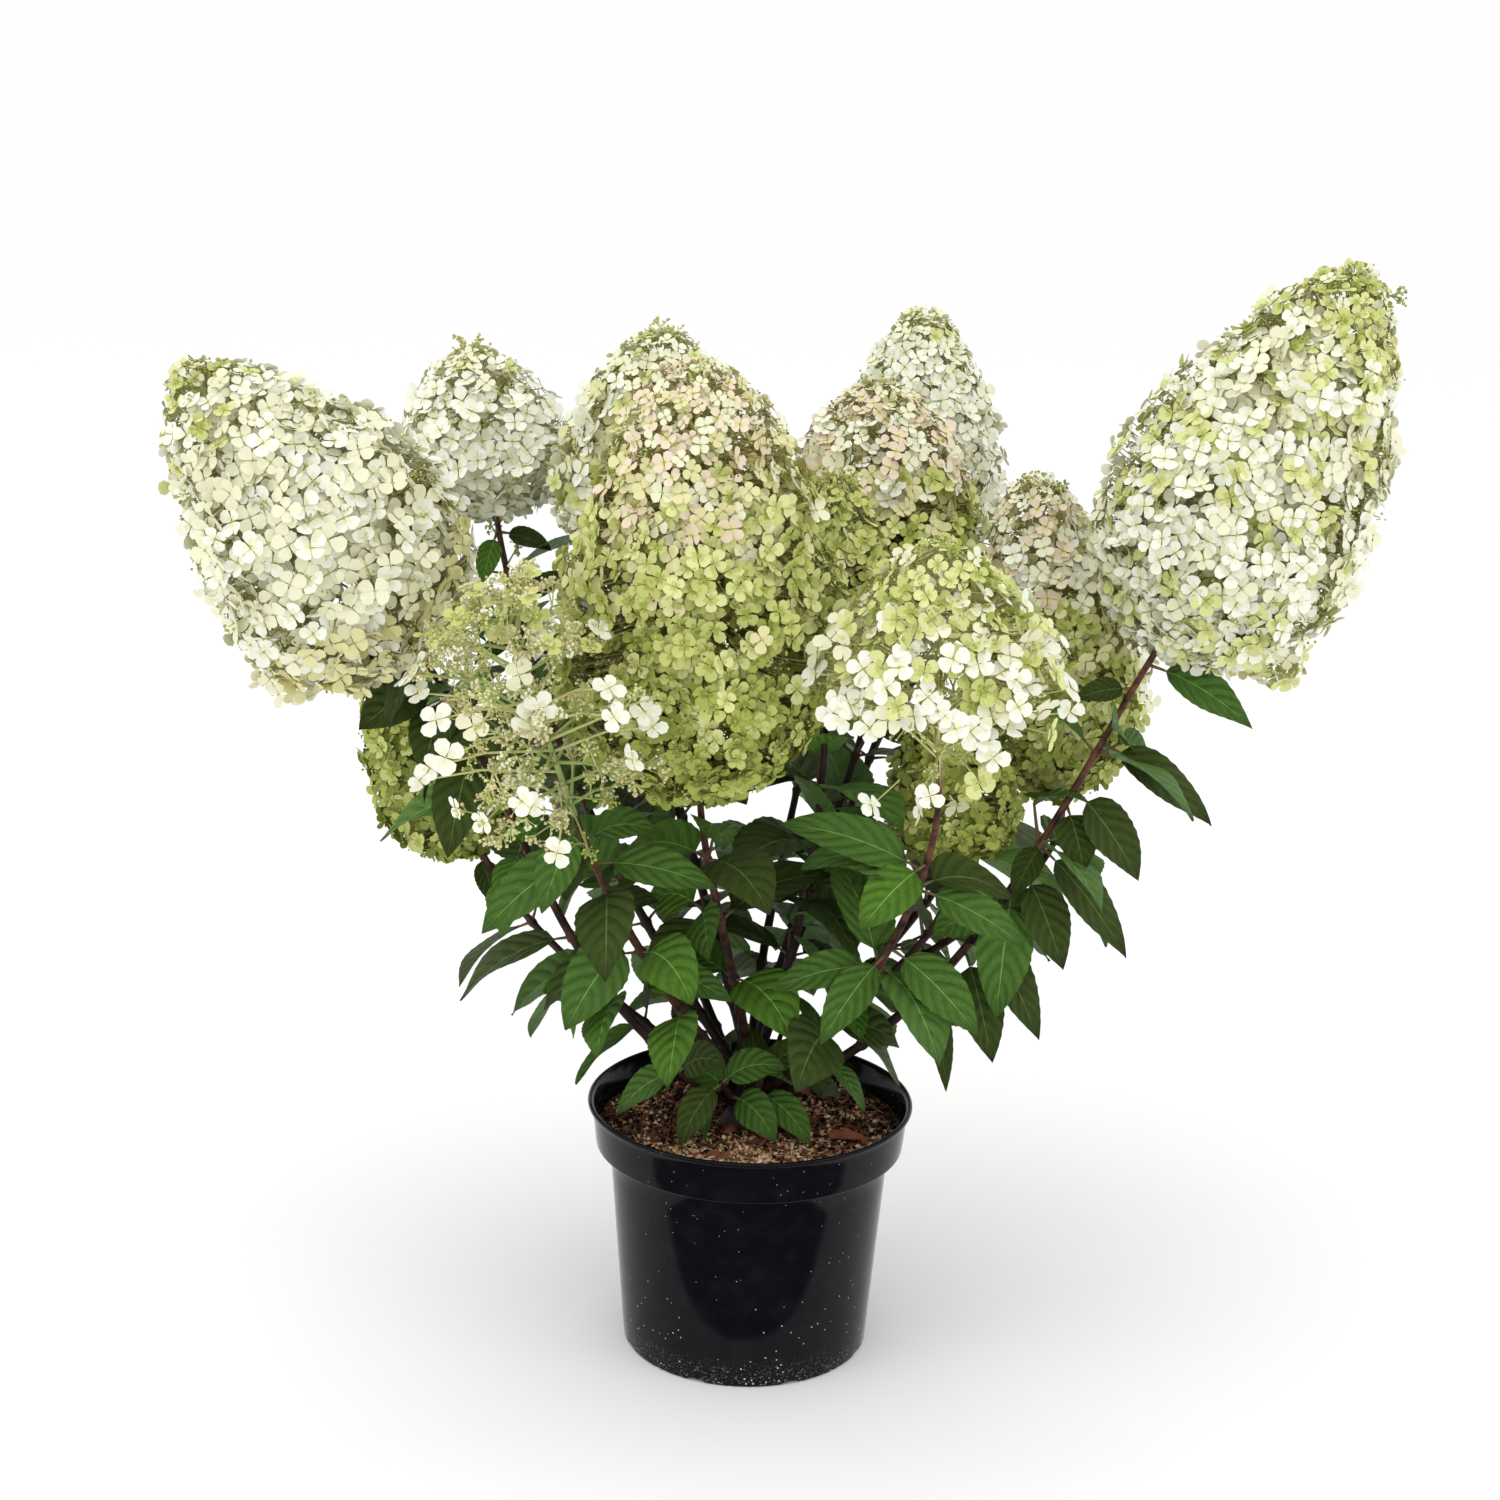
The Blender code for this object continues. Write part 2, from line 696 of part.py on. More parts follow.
def envelope(t):
    """A panicle's radius at a share of its length, as a share of its greatest radius."""
    return math.sin(math.pi * min(max(t, 0.0), 1.0) ** WIDEST_POWER) ** BLUNTNESS


def envelope_slope(shoot, t):
    step = 1.0 / SKIN_STEPS
    return (envelope(t + step) - envelope(t - step)) / (2 * step) * shoot.radius / shoot.length


def skin_places(shoot, count):
    """Shares of the length and turns that spread points evenly over a panicle's skin."""
    area = [0.0]
    for k in range(SKIN_STEPS):
        t = (k + 0.5) / SKIN_STEPS
        area.append(area[-1] + envelope(t) * math.hypot(1.0, envelope_slope(shoot, t)))
    places, k = [], 0
    for j in range(count):
        wanted = area[-1] * (j + 0.5) / count
        while area[k + 1] < wanted:
            k += 1
        t = (k + (wanted - area[k]) / (area[k + 1] - area[k])) / SKIN_STEPS
        places.append((t, j * GOLDEN_ANGLE))
    return places


def axis_point(shoot, t):
    return panicle_base(shoot) + panicle_heading(shoot) * (t * shoot.length)


def skin_point(shoot, t, turn, share=1.0):
    """A point on the panicle's skin, or a share of the way to it, and the way the skin faces."""
    axis = panicle_heading(shoot)
    side, other = square_to(axis)
    out = side * math.cos(turn) + other * math.sin(turn)
    facing = (out - axis * envelope_slope(shoot, t)).normalized()
    return axis_point(shoot, t) + out * (envelope(t) * shoot.radius * share), facing


def floret(centre, facing, reach, spin, foot):
    """A four-petalled floret as a square that narrows to a foot inside the panicle."""
    side, other = square_to(facing)
    points = []
    for k in range(4):
        angle = spin + 0.25 * math.tau * k
        points.append(centre + (side * math.cos(angle) + other * math.sin(angle)) * reach)
    points.append(foot)
    return points, [(0, 1, 2, 3)] + [((k + 1) % 4, k, 4) for k in range(4)]


def tip_floret(shoot, rng):
    axis, tip = panicle_heading(shoot), axis_point(shoot, 1.0)
    foot = tip - axis * (TIP_STALK_SHARE * shoot.length)
    return floret(tip - axis * TIP_MARGIN, axis, TIP_FLORET_SHARE * FLORET_REACH, rng.random(), foot)


def core_solid(shoot):
    """The dense inside of a panicle, that its florets stand out of."""
    points = [axis_point(shoot, CORE_ENDS[0])]
    for k in range(CORE_RINGS):
        t = between(CORE_RANGE, k / (CORE_RINGS - 1))
        for j in range(CORE_SIDES):
            points.append(skin_point(shoot, t, math.tau * j / CORE_SIDES + CORE_TWIST * t, CORE_SHARE)[0])
    points.append(axis_point(shoot, CORE_ENDS[1]))
    top = 1 + (CORE_RINGS - 1) * CORE_SIDES
    faces = []
    for j in range(CORE_SIDES):
        after = (j + 1) % CORE_SIDES
        faces.append((0, 1 + after, 1 + j))
        for k in range(CORE_RINGS - 1):
            low, next_low = 1 + k * CORE_SIDES + j, 1 + k * CORE_SIDES + after
            faces.append((low, next_low, next_low + CORE_SIDES, low + CORE_SIDES))
        faces.append((top + j, top + after, len(points) - 1))
    return points, faces


def peduncle(shoot, share):
    """The cane's end inside its panicle, up to a share of the panicle's length."""
    path = [axis_point(shoot, share * k) for k in (0.0, 0.5, 1.0)]
    return tube(path, [CANE_TIP_RADIUS] * 3, CANE_SIDES)


def make_dense_panicle(shoot, number, space, material):
    rng = random.Random(PANICLE_SEED + number)
    name = "panicle_" + shoot.name
    solids = [core_solid(shoot), peduncle(shoot, PEDUNCLE_SHARE)]
    skin = math.tau * shoot.radius * shoot.length * SKIN_SHARE
    size = min(1.0, 0.5 + 0.5 * shoot.radius / FULL_FLORET_RADIUS)
    for t, turn in skin_places(shoot, max(FLORET_LEAST, round(skin / FLORET_AREA))):
        share = rng.uniform(*FLORET_DEPTHS)
        centre, facing = skin_point(shoot, t, turn, share)
        inside = axis_point(shoot, min(max(t, FOOT_RANGE[0]), FOOT_RANGE[1]))
        foot = centre.lerp(inside, 1.0 - FOOT_SHARE / share)
        reach = size * FLORET_REACH * rng.uniform(*FLORET_REACHES)
        solid = floret(centre, facing, reach, rng.uniform(0.0, 0.25 * math.tau), foot)
        if space.is_free(solid, name):
            solids.append(solid)
    solids.append(tip_floret(shoot, rng))
    return fuse(name, solids, material)


def bud_cluster(centre, radius):
    """A cluster of closed buds as an eight-sided bead."""
    corners = ((1, 0, 0), (0, 1, 0), (-1, 0, 0), (0, -1, 0), (0, 0, 1), (0, 0, -1))
    points = [centre + Vector(corner) * radius for corner in corners]
    faces = []
    for k in range(4):
        after = (k + 1) % 4
        faces += [(k, after, 4), (after, k, 5)]
    return points, faces


def make_airy_panicle(shoot, number, space, material):
    """A young panicle: tiers of bare branchlets with bud clusters and a few open florets."""
    rng = random.Random(AIRY_SEED + number)
    name = "panicle_" + shoot.name
    axis = panicle_heading(shoot)
    solids = [peduncle(shoot, AIRY_AXIS_SHARE)]
    radii = [AIRY_TWIG_RADIUS * taper for taper in AIRY_TWIG_TAPER]
    for tier in range(AIRY_TIERS):
        t = between(AIRY_RANGE, tier / (AIRY_TIERS - 1))
        for k in range(AIRY_PER_TIER):
            turn = (tier * AIRY_PER_TIER + k) * GOLDEN_ANGLE
            end, facing = skin_point(shoot, t, turn, rng.uniform(*AIRY_DEPTHS))
            root = axis_point(shoot, t - AIRY_RISE)
            twig = tube([root, root.lerp(end, 0.5) + axis * AIRY_ARCH, end], radii, 3)
            if rng.random() < AIRY_FLORET_SHARE:
                head = floret(end + facing * AIRY_FLORET_LIFT, facing, AIRY_FLORET_SIZE * FLORET_REACH,
                              rng.random(), end - facing * (0.5 * AIRY_FLORET_LIFT))
            else:
                head = bud_cluster(end, BUD_RADIUS * rng.uniform(*BUD_RADII))
            if space.is_free(twig, name) and space.is_free(head, name):
                solids += [twig, head]
    solids.append(tip_floret(shoot, rng))
    return fuse(name, solids, material)


def reserve_room(space):
    """Keeps the room of each leafy stem and core, which nothing else may touch."""
    for shoot in SHOOTS:
        space.reserve(shoot_stem(shoot), "leaves_" + shoot.name)
        if not shoot.airy:
            space.reserve(core_solid(shoot), "panicle_" + shoot.name)
    for low in LOW_SHOOTS:
        space.reserve(low_stem(low), "leaves_" + low.name)


def main():
    clear_scene()
    bark = make_material("cane_bark", CANE_BARK)
    green = make_material("leaf_green", LEAF_GREEN)
    cream = make_material("cream_petals", CREAM_PETALS)
    space = Space()
    space.add(make_pot(make_material("black_plastic", BLACK_PLASTIC)))
    space.add(make_soil(make_material("peat_soil", PEAT_SOIL)))
    space.add(make_trunk(bark))
    for shoot in SHOOTS:
        space.add(make_bough(shoot, bark))
    reserve_room(space)
    for number, shoot in enumerate(SHOOTS):
        build = make_airy_panicle if shoot.airy else make_dense_panicle
        space.add(build(shoot, number, space, cream))
    for number, low in enumerate(LOW_SHOOTS):
        space.add(make_low_mass(low, number, space, green))
    for number, shoot in enumerate(SHOOTS):
        space.add(make_leaf_mass(shoot, number, space, green))


main()
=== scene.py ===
"""Looks of a potted panicle hydrangea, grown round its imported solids.

Metres, +Z up, with the origin at the centre of the pot's underside. The canes follow the same rule
as the solids. Leaves, florets, buds and stalks are small meshes joined into a few large pieces.
"""

import math
import random
from collections import namedtuple

import bpy
import numpy as np
from bpy.props import FloatProperty, FloatVectorProperty, IntProperty, PointerProperty
from mathutils import Matrix, Vector, noise
from mathutils.bvhtree import BVHTree


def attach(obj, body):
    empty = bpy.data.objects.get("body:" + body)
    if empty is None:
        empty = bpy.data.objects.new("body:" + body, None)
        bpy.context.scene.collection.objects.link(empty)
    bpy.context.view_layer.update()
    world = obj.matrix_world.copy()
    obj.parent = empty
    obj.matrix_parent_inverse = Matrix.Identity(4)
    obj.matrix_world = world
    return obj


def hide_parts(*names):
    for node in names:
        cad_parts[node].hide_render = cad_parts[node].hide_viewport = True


bl_info = {
    "name": "Potted panicle hydrangea",
    "version": (1, 0, 0),
    "blender": (4, 5, 0),
    "location": "View3D > Sidebar > Hydrangea",
    "description": "Grows the leaves, canes and flower heads of a potted hydrangea round its solids",
    "category": "Object",
}

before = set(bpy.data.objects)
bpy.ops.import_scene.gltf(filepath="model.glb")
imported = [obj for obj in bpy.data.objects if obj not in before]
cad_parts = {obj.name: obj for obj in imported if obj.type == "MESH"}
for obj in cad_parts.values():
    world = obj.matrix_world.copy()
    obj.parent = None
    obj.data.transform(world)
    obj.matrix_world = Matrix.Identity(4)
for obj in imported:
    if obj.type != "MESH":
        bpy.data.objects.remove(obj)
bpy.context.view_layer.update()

MM = 0.001
UP = np.array((0.0, 0.0, 1.0))
FORWARD = np.array((1.0, 0.0, 0.0))
GOLDEN_ANGLE = math.radians(137.508)

# Pot and soil, as in the solids
POT_HEIGHT = 205 * MM
POT_WALL = 2.2 * MM
LIP_RADIUS = 130 * MM
LIP_DEPTH = 4 * MM
COLLAR_RADIUS = 126.5 * MM
COLLAR_TAPER = 3.5 * MM
COLLAR_DEPTH = 37 * MM
BODY_RADIUS = 112 * MM
BASE_RADIUS = 98.5 * MM
FOOT_DEPTH = 4 * MM
FOOT_WIDTH = 12 * MM
PAD_RADIUS = 60 * MM
NOTCH_WIDTH = 14 * MM
NOTCH_DEPTH = 3 * MM
NOTCH_COUNT = 8
SOIL_TOP = 187 * MM
SOIL_EDGE_DROP = 4 * MM

# Stump and canes, as in the solids
GAP = 0.3 * MM
HEAD_RADII = (25 * MM, 18.5 * MM, 15.5 * MM, 12.5 * MM, 8 * MM)
HEAD_LEVELS = (0.0, 8 * MM, 24 * MM, 40 * MM, 50 * MM)
STUB_LENGTH = 30 * MM
LOW, MIDDLE, HIGH = 14 * MM, 26 * MM, 37 * MM
CANE_STEPS = 48
CANE_START_PULL = 0.36
CANE_END_PULL = 0.30
BARE_SHARE = 0.24
NODE_MARGIN = 10 * MM
LOW_SHOOT_LEVEL = 7 * MM
LOW_SHOOT_LIFT = 0.12
LOW_STUB_LENGTH = 24 * MM
LOW_NODE_SHARES = (0.42, 0.95)

# Panicle outline, as in the solids
WIDEST_POWER = 0.62
BLUNTNESS = 0.8
WIDEST_AT = 0.5 ** (1.0 / WIDEST_POWER)
SKIN_SHARE = 0.65
SKIN_STEPS = 200

Shoot = namedtuple("Shoot", "name foot_turn foot_level rise turn reach height "
                            "lean_turn lean length radius airy", defaults=(False,))

SHOOTS = (
    Shoot("far_left", 195, LOW, 30, 193, 0.266, 0.583, 201, 38, 0.274, 0.106),
    Shoot("back_left", 146, MIDDLE, 45, 138, 0.300, 0.634, 139, 13, 0.140, 0.074),
    Shoot("centre", 250, HIGH, 68, 239, 0.087, 0.487, 260, 13, 0.352, 0.106),
    Shoot("behind_centre", 130, HIGH, 66, 135, 0.141, 0.620, 107, 3, 0.185, 0.074),
    Shoot("centre_right", 5, HIGH, 72, 16, 0.053, 0.515, 80, 6, 0.190, 0.060),
    Shoot("back_right", 68, MIDDLE, 52, 62, 0.272, 0.588, 87, 5, 0.222, 0.068),
    Shoot("mid_right", 62, HIGH, 64, 52, 0.152, 0.568, 125, 4, 0.195, 0.080),
    Shoot("right", 18, MIDDLE, 44, 16, 0.254, 0.444, 149, 9, 0.258, 0.060),
    Shoot("front_right", 310, LOW, 40, 315, 0.185, 0.504, 260, 22, 0.215, 0.100),
    Shoot("far_right", 352, LOW, 28, 358, 0.301, 0.586, 7, 29, 0.330, 0.108),
    Shoot("low_right", 338, MIDDLE, 46, 0, 0.155, 0.409, 112, 10, 0.126, 0.056),
    Shoot("low_left", 167, LOW, 32, 158, 0.243, 0.378, 161, 31, 0.180, 0.060),
    Shoot("front_left", 222, MIDDLE, 46, 224, 0.187, 0.478, 245, 31, 0.213, 0.098, True),
    Shoot("rear_left", 118, LOW, 32, 120, 0.242, 0.400, 124, 55, 0.175, 0.066),
    Shoot("rear", 90, LOW, 34, 80, 0.275, 0.490, 86, 49, 0.199, 0.075),
    Shoot("rear_right", 42, LOW, 32, 41, 0.305, 0.440, 48, 46, 0.187, 0.070),
)

LowShoot = namedtuple("LowShoot", "name turn rise length nodes")

LOW_SHOOTS = (
    LowShoot("foot_left", 218, 30, 62 * MM, 2),
    LowShoot("foot_front_left", 246, 34, 46 * MM, 2),
    LowShoot("foot_front", 279, 40, 52 * MM, 2),
    LowShoot("foot_front_right", 333, 36, 60 * MM, 2),
    LowShoot("foot_back_right", 66, 34, 60 * MM, 2),
    LowShoot("foot_back_left", 142, 34, 60 * MM, 2),
)

# Tints of petals, buds and stalks, dealt out floret by floret
TINTS = {
    "white": (0.86, 0.87, 0.75),
    "ivory": (0.80, 0.79, 0.57),
    "cream": (0.72, 0.68, 0.36),
    "cream_green": (0.67, 0.69, 0.30),
    "pale_lime": (0.53, 0.56, 0.18),
    "lime": (0.37, 0.42, 0.085),
    "deep_lime": (0.23, 0.27, 0.045),
    "blush": (0.80, 0.66, 0.52),
    "beige": (0.62, 0.53, 0.31),
    "brown": (0.22, 0.12, 0.05),
    "bud_green": (0.40, 0.45, 0.12),
    "bud_olive": (0.26, 0.25, 0.07),
    "stalk_pale": (0.62, 0.62, 0.27),
    "stalk_olive": (0.47, 0.39, 0.13),
    "stalk_green": (0.34, 0.42, 0.14),
}
NUMBER = {name: k for k, name in enumerate(TINTS)}
# Painted shade: the next darker tint of each petal, for the florets inside a head and the hearts of the
# florets
PAINTED_SHADE_TINTS = {"white": "ivory", "ivory": "ivory", "cream": "cream", "cream_green": "pale_lime",
          "pale_lime": "lime", "lime": "deep_lime", "deep_lime": "deep_lime", "blush": "cream",
          "beige": "beige"}

# How each flower head is coloured: bands from its foot to its tip, each with the share of the length
# where it ends and the tints dealt out below that, the more often named the more of it. The size is
# that of the head's florets, as a share of the largest, and gaps says how open the head is.
Band = namedtuple("Band", "end tints")
BUD_TINTS = ("bud_green", "pale_lime", "bud_green")
OLD_BUD_TINTS = ("bud_olive", "brown", "bud_green")
Look = namedtuple("Look", "bands buds size gaps")


def banded(rows, buds, size, gaps):
    """A look whose rows each give the end of a band and its tints."""
    return Look(tuple(Band(end, tints.split()) for end, tints in rows), buds, size, gaps)

SNOWY = banded((
    (0.30, "white ivory cream ivory cream"),
    (0.80, "white white ivory ivory"),
    (0.94, "white ivory white cream_green"),
    (1.00, "cream_green ivory pale_lime"),
), BUD_TINTS, 1.0, 1.1)
FROSTY = banded((
    (0.62, "white"),
    (0.88, "white white ivory white"),
    (1.00, "cream_green ivory white ivory"),
), BUD_TINTS, 0.94, 0.55)
FRESH_TOP = banded((
    (0.42, "white white ivory white cream_green"),
    (0.62, "white ivory ivory cream_green white"),
    (0.82, "ivory cream_green ivory white"),
    (1.00, "cream_green pale_lime cream_green ivory"),
), BUD_TINTS, 0.94, 0.65)
CREAMY = banded((
    (0.45, "white ivory white cream_green"),
    (0.82, "ivory white cream white cream_green"),
    (1.00, "cream_green ivory ivory white"),
), BUD_TINTS, 0.9, 0.7)
RIPE = banded((
    (0.30, "lime lime pale_lime lime deep_lime"),
    (0.52, "pale_lime pale_lime lime cream_green pale_lime"),
    (0.72, "pale_lime cream_green pale_lime cream cream_green pale_lime"),
    (0.86, "cream ivory blush cream_green cream"),
    (1.00, "ivory blush cream blush ivory"),
), OLD_BUD_TINTS, 0.86, 1.1)
BLUSHING = banded((
    (0.25, "lime pale_lime pale_lime"),
    (0.45, "pale_lime cream_green lime"),
    (0.62, "cream cream_green pale_lime cream"),
    (1.00, "blush ivory blush ivory white"),
), OLD_BUD_TINTS, 0.84, 1.0)
YOUNG = banded((
    (0.62, "white white ivory cream_green"),
    (0.76, "cream_green white ivory pale_lime"),
    (0.90, "cream_green ivory cream_green pale_lime"),
    (1.00, "cream_green ivory pale_lime cream_green"),
), BUD_TINTS, 1.05, 2.3)
GREEN = banded((
    (0.60, "lime deep_lime deep_lime pale_lime"),
    (1.00, "lime pale_lime lime"),
), BUD_TINTS, 0.86, 1.2)
TURNING = banded((
    (0.45, "lime pale_lime pale_lime cream_green"),
    (1.00, "pale_lime cream_green cream pale_lime"),
), OLD_BUD_TINTS, 0.86, 1.0)

LOOKS = {
    "far_left": SNOWY,
    "back_left": FROSTY,
    "centre": RIPE,
    "behind_centre": CREAMY,
    "centre_right": TURNING,
    "back_right": FROSTY,
    "mid_right": BLUSHING,
    "right": BLUSHING,
    "front_right": YOUNG,
    "far_right": FRESH_TOP,
    "low_right": GREEN,
    "low_left": GREEN,
    "front_left": YOUNG,
    "rear_left": SNOWY,
    "rear": FRESH_TOP,
    "rear_right": CREAMY,
}

# How a head's form departs from the plain one: the power that shapes it from its widest place to its
# tip, lower for a blunter tip, the share of its length that is bare of florets at the foot, its width
# as a share of the plain one, the share of its length where its florets end, and how far its tip
# bends to the right
Form = namedtuple("Form", "blunt foot width end aside")
PLAIN_FORM = Form(0.62, 0.0, 1.0, 1.0, 0.0)
FORMS = {
    "far_left": Form(0.66, 0.0, 0.96, 1.0, 0.0),
    "back_left": Form(0.50, 0.0, 1.04, 0.98, -4 * MM),
    "centre": Form(0.46, 0.0, 1.0, 0.95, 10 * MM),
    "behind_centre": Form(0.44, 0.0, 1.0, 0.98, 20 * MM),
    "back_right": Form(0.54, 0.0, 1.08, 0.99, 0.0),
    "right": Form(0.44, 0.0, 1.16, 1.0, 0.0),
    "mid_right": Form(0.46, 0.0, 1.12, 1.0, 0.0),
    "front_right": Form(0.70, 0.50, 1.02, 1.0, 0.0),
    "far_right": Form(0.60, 0.0, 0.97, 1.0, -18 * MM),
}

# Tufts of florets on long side branches: where on the head they leave it, how much they hang, their
# size and their tints
Lobe = namedtuple("Lobe", "shoot t turn drop length radius tints")
LOBES = (
    Lobe("far_right", 0.17, 258, 0.9, 48 * MM, 24 * MM,
         ("cream_green", "ivory", "beige", "cream_green", "cream")),
    Lobe("far_left", 0.17, 300, 0.8, 40 * MM, 27 * MM, ("ivory", "white", "cream", "ivory")),
    Lobe("back_left", 0.22, 250, 0.2, 34 * MM, 22 * MM, ("white", "white", "ivory")),
)

# Sprigs of closed buds on stems of their own: how far along the cane and its head together, the
# turn about it, the rise above it, and the sprig's length
Sprig = namedtuple("Sprig", "shoot share turn rise length")
SPRIGS = (
    Sprig("far_left", 0.93, 60, 20, 34 * MM),
    Sprig("far_left", 0.95, 100, 35, 26 * MM),
    Sprig("back_left", 0.74, 300, 30, 46 * MM),
    Sprig("back_left", 0.71, 330, 25, 52 * MM),
    Sprig("back_left", 0.66, 270, 20, 40 * MM),
    Sprig("right", 0.96, 90, 30, 24 * MM),
    Sprig("far_right", 0.97, 300, 30, 30 * MM),
    Sprig("far_right", 0.94, 20, 30, 26 * MM),
    Sprig("front_left", 0.62, 200, 25, 62 * MM),
    Sprig("front_left", 0.60, 230, 10, 70 * MM),
)


# Florets that stand out singly, listed by head: the pixel of the photo where each shows, its tint
# and its size as a share of an open floret
Single = namedtuple("Single", "shoot photo_x photo_y tint size")
SINGLE_ROWS = {
    "front_left": (
        (418, 693, "white", 0.85), (436, 720, "white", 1.05), (473, 726, "ivory", 0.90),
        (527, 722, "white", 1.00), (541, 709, "white", 0.95), (609, 688, "white", 0.95),
        (614, 717, "white", 0.85), (645, 712, "white", 0.90), (652, 727, "white", 0.85),
        (446, 758, "white", 1.10), (430, 768, "white", 0.85), (419, 781, "white", 0.85),
        (533, 805, "white", 0.70), (557, 853, "white", 0.90), (519, 675, "ivory", 0.95),
        (541, 640, "ivory", 0.75), (501, 633, "cream_green", 0.80), (437, 638, "pale_lime", 0.70),
        (498, 602, "cream_green", 0.90), (521, 598, "pale_lime", 0.90), (473, 611, "cream_green", 0.75),
        (535, 617, "pale_lime", 0.80),
    ),
    "front_right": (
        (993, 758, "white", 0.95), (930, 796, "white", 0.85), (979, 783, "cream_green", 0.95),
        (834, 713, "white", 1.0), (850, 706, "white", 0.9), (1070, 712, "white", 0.8),
        (908, 648, "white", 0.85), (936, 628, "ivory", 0.85), (889, 618, "white", 0.80),
        (924, 672, "cream_green", 0.85), (928, 697, "white", 0.95), (945, 716, "white", 0.85),
        (978, 664, "white", 0.90), (870, 728, "white", 0.90),
    ),
}
SINGLES = tuple(Single(head, *row) for head, rows in SINGLE_ROWS.items() for row in rows)

# Leaves that stand out singly, listed by cane: the share of the cane where each grows, the pixel of
# the photo where its tip shows, how many millimetres its tip comes towards the eye, its width and
# its green, 0 the deepest
Lone = namedtuple("Lone", "shoot share photo_x photo_y ahead slim green")
LONE_ROWS = {
    "back_left": (
        (0.99, 482, 478, 0, 0.85, 1), (0.97, 485, 583, 10, 0.81, 2), (0.90, 531, 612, 14, 0.99, 2),
        (0.97, 548, 551, 6, 0.81, 0), (0.85, 573, 574, 6, 0.72, 0),
    ),
    "far_left": (
        (0.98, 343, 657, 4, 0.95, 0), (0.93, 364, 728, 14, 1.22, 0), (0.90, 426, 770, 24, 1.03, 0),
        (0.80, 451, 854, 20, 0.81, 0),
    ),
    "low_left": (
        (0.99, 497, 904, 0, 0.85, 0),
    ),
    "front_left": (
        (0.97, 545, 910, 16, 0.80, 1), (0.88, 488, 932, 4, 0.77, 1), (0.83, 713, 889, 12, 0.64, 1),
        (0.57, 570, 1027, 20, 0.98, 1), (0.43, 728, 1001, 16, 0.76, 1),
    ),
    "front_right": (
        (0.78, 786, 822, 4, 0.62, 1), (0.80, 864, 930, 22, 0.98, 2), (0.73, 1020, 946, 16, 0.70, 1),
        (0.56, 973, 1034, 20, 0.78, 1), (0.54, 824, 1043, 22, 0.68, 1), (0.50, 777, 990, 12, 0.72, 1),
    ),
    "far_right": (
        (0.97, 1247, 727, 0, 0.73, 1), (0.92, 1078, 701, 8, 0.89, 0), (0.82, 1205, 824, 2, 0.61, 0),
        (0.73, 1133, 878, 0, 0.89, 0), (0.70, 1081, 868, 14, 1.17, 0), (0.63, 1014, 895, 2, 0.86, 0),
        (0.62, 1119, 955, 2, 0.59, 0), (0.57, 1058, 966, 10, 0.85, 0), (0.53, 995, 1014, 18, 0.78, 1),
        (0.45, 1033, 1036, 8, 0.65, 0), (0.40, 988, 1058, 12, 0.77, 0), (0.32, 943, 1087, 4, 0.41, 0),
    ),
}
LONE_LEAVES = tuple(
    Lone(cane, share, photo_x, photo_y, ahead * MM, slim, green)
    for cane, rows in LONE_ROWS.items() for share, photo_x, photo_y, ahead, slim, green in rows)


# Settings

class PotSettings(bpy.types.PropertyGroup):
    """Finish of the pot."""

    plastic: FloatVectorProperty(
        name="Plastic", description="Colour of the pot's plastic", subtype="COLOR",
        default=(0.0046, 0.0046, 0.0066), min=0.0, max=1.0)
    dust: FloatVectorProperty(
        name="Dust", description="Colour of the dried splashes and dust", subtype="COLOR",
        default=(0.66, 0.62, 0.54), min=0.0, max=1.0)
    gloss: FloatProperty(
        name="Roughness", description="Roughness of clean plastic", default=0.10, min=0.0, max=1.0,
        subtype="FACTOR")
    segments: IntProperty(
        name="Segments", description="Facets round the pot", default=192, min=64, max=512)


class SoilSettings(bpy.types.PropertyGroup):
    """Look of the soil and of what lies on it."""

    peat: FloatVectorProperty(
        name="Peat", description="Colour of moist peat", subtype="COLOR",
        default=(0.13, 0.048, 0.023), min=0.0, max=1.0)
    # Also spread over the front of the soil as painted light
    crumb: FloatVectorProperty(
        name="Crumbs", description="Colour of dry crumbs", subtype="COLOR",
        default=(0.84, 0.52, 0.31), min=0.0, max=1.0)
    grains: IntProperty(
        name="Grains", description="Loose grains on the surface", default=5600, min=0, max=9000)
    fibres: IntProperty(
        name="Fibres", description="Dry fibres on the surface", default=3200, min=0, max=8000)
    litter: IntProperty(
        name="Fallen leaves", description="Dry leaves on the soil", default=17, min=0, max=40)


class CaneSettings(bpy.types.PropertyGroup):
    """Size and bark of the canes."""

    foot_radius: FloatProperty(
        name="Foot radius", description="Radius of a cane at the stump", default=4.1 * MM,
        min=1 * MM, max=10 * MM, unit="LENGTH")
    tip_radius: FloatProperty(
        name="Tip radius", description="Radius of a cane below its flower head", default=2.5 * MM,
        min=0.5 * MM, max=6 * MM, unit="LENGTH")
    bark: FloatVectorProperty(
        name="Bark", description="Colour of the shaded bark", subtype="COLOR",
        default=(0.014, 0.0075, 0.0075), min=0.0, max=1.0)
    # The red of young bark, also painted on the lit canes at the front and sides as painted light
    lit_young_bark: FloatVectorProperty(
        name="Red bark", description="Colour of the young bark", subtype="COLOR",
        default=(0.19, 0.070, 0.038), min=0.0, max=1.0)
    sides: IntProperty(
        name="Sides", description="Facets round a cane", default=10, min=6, max=24)


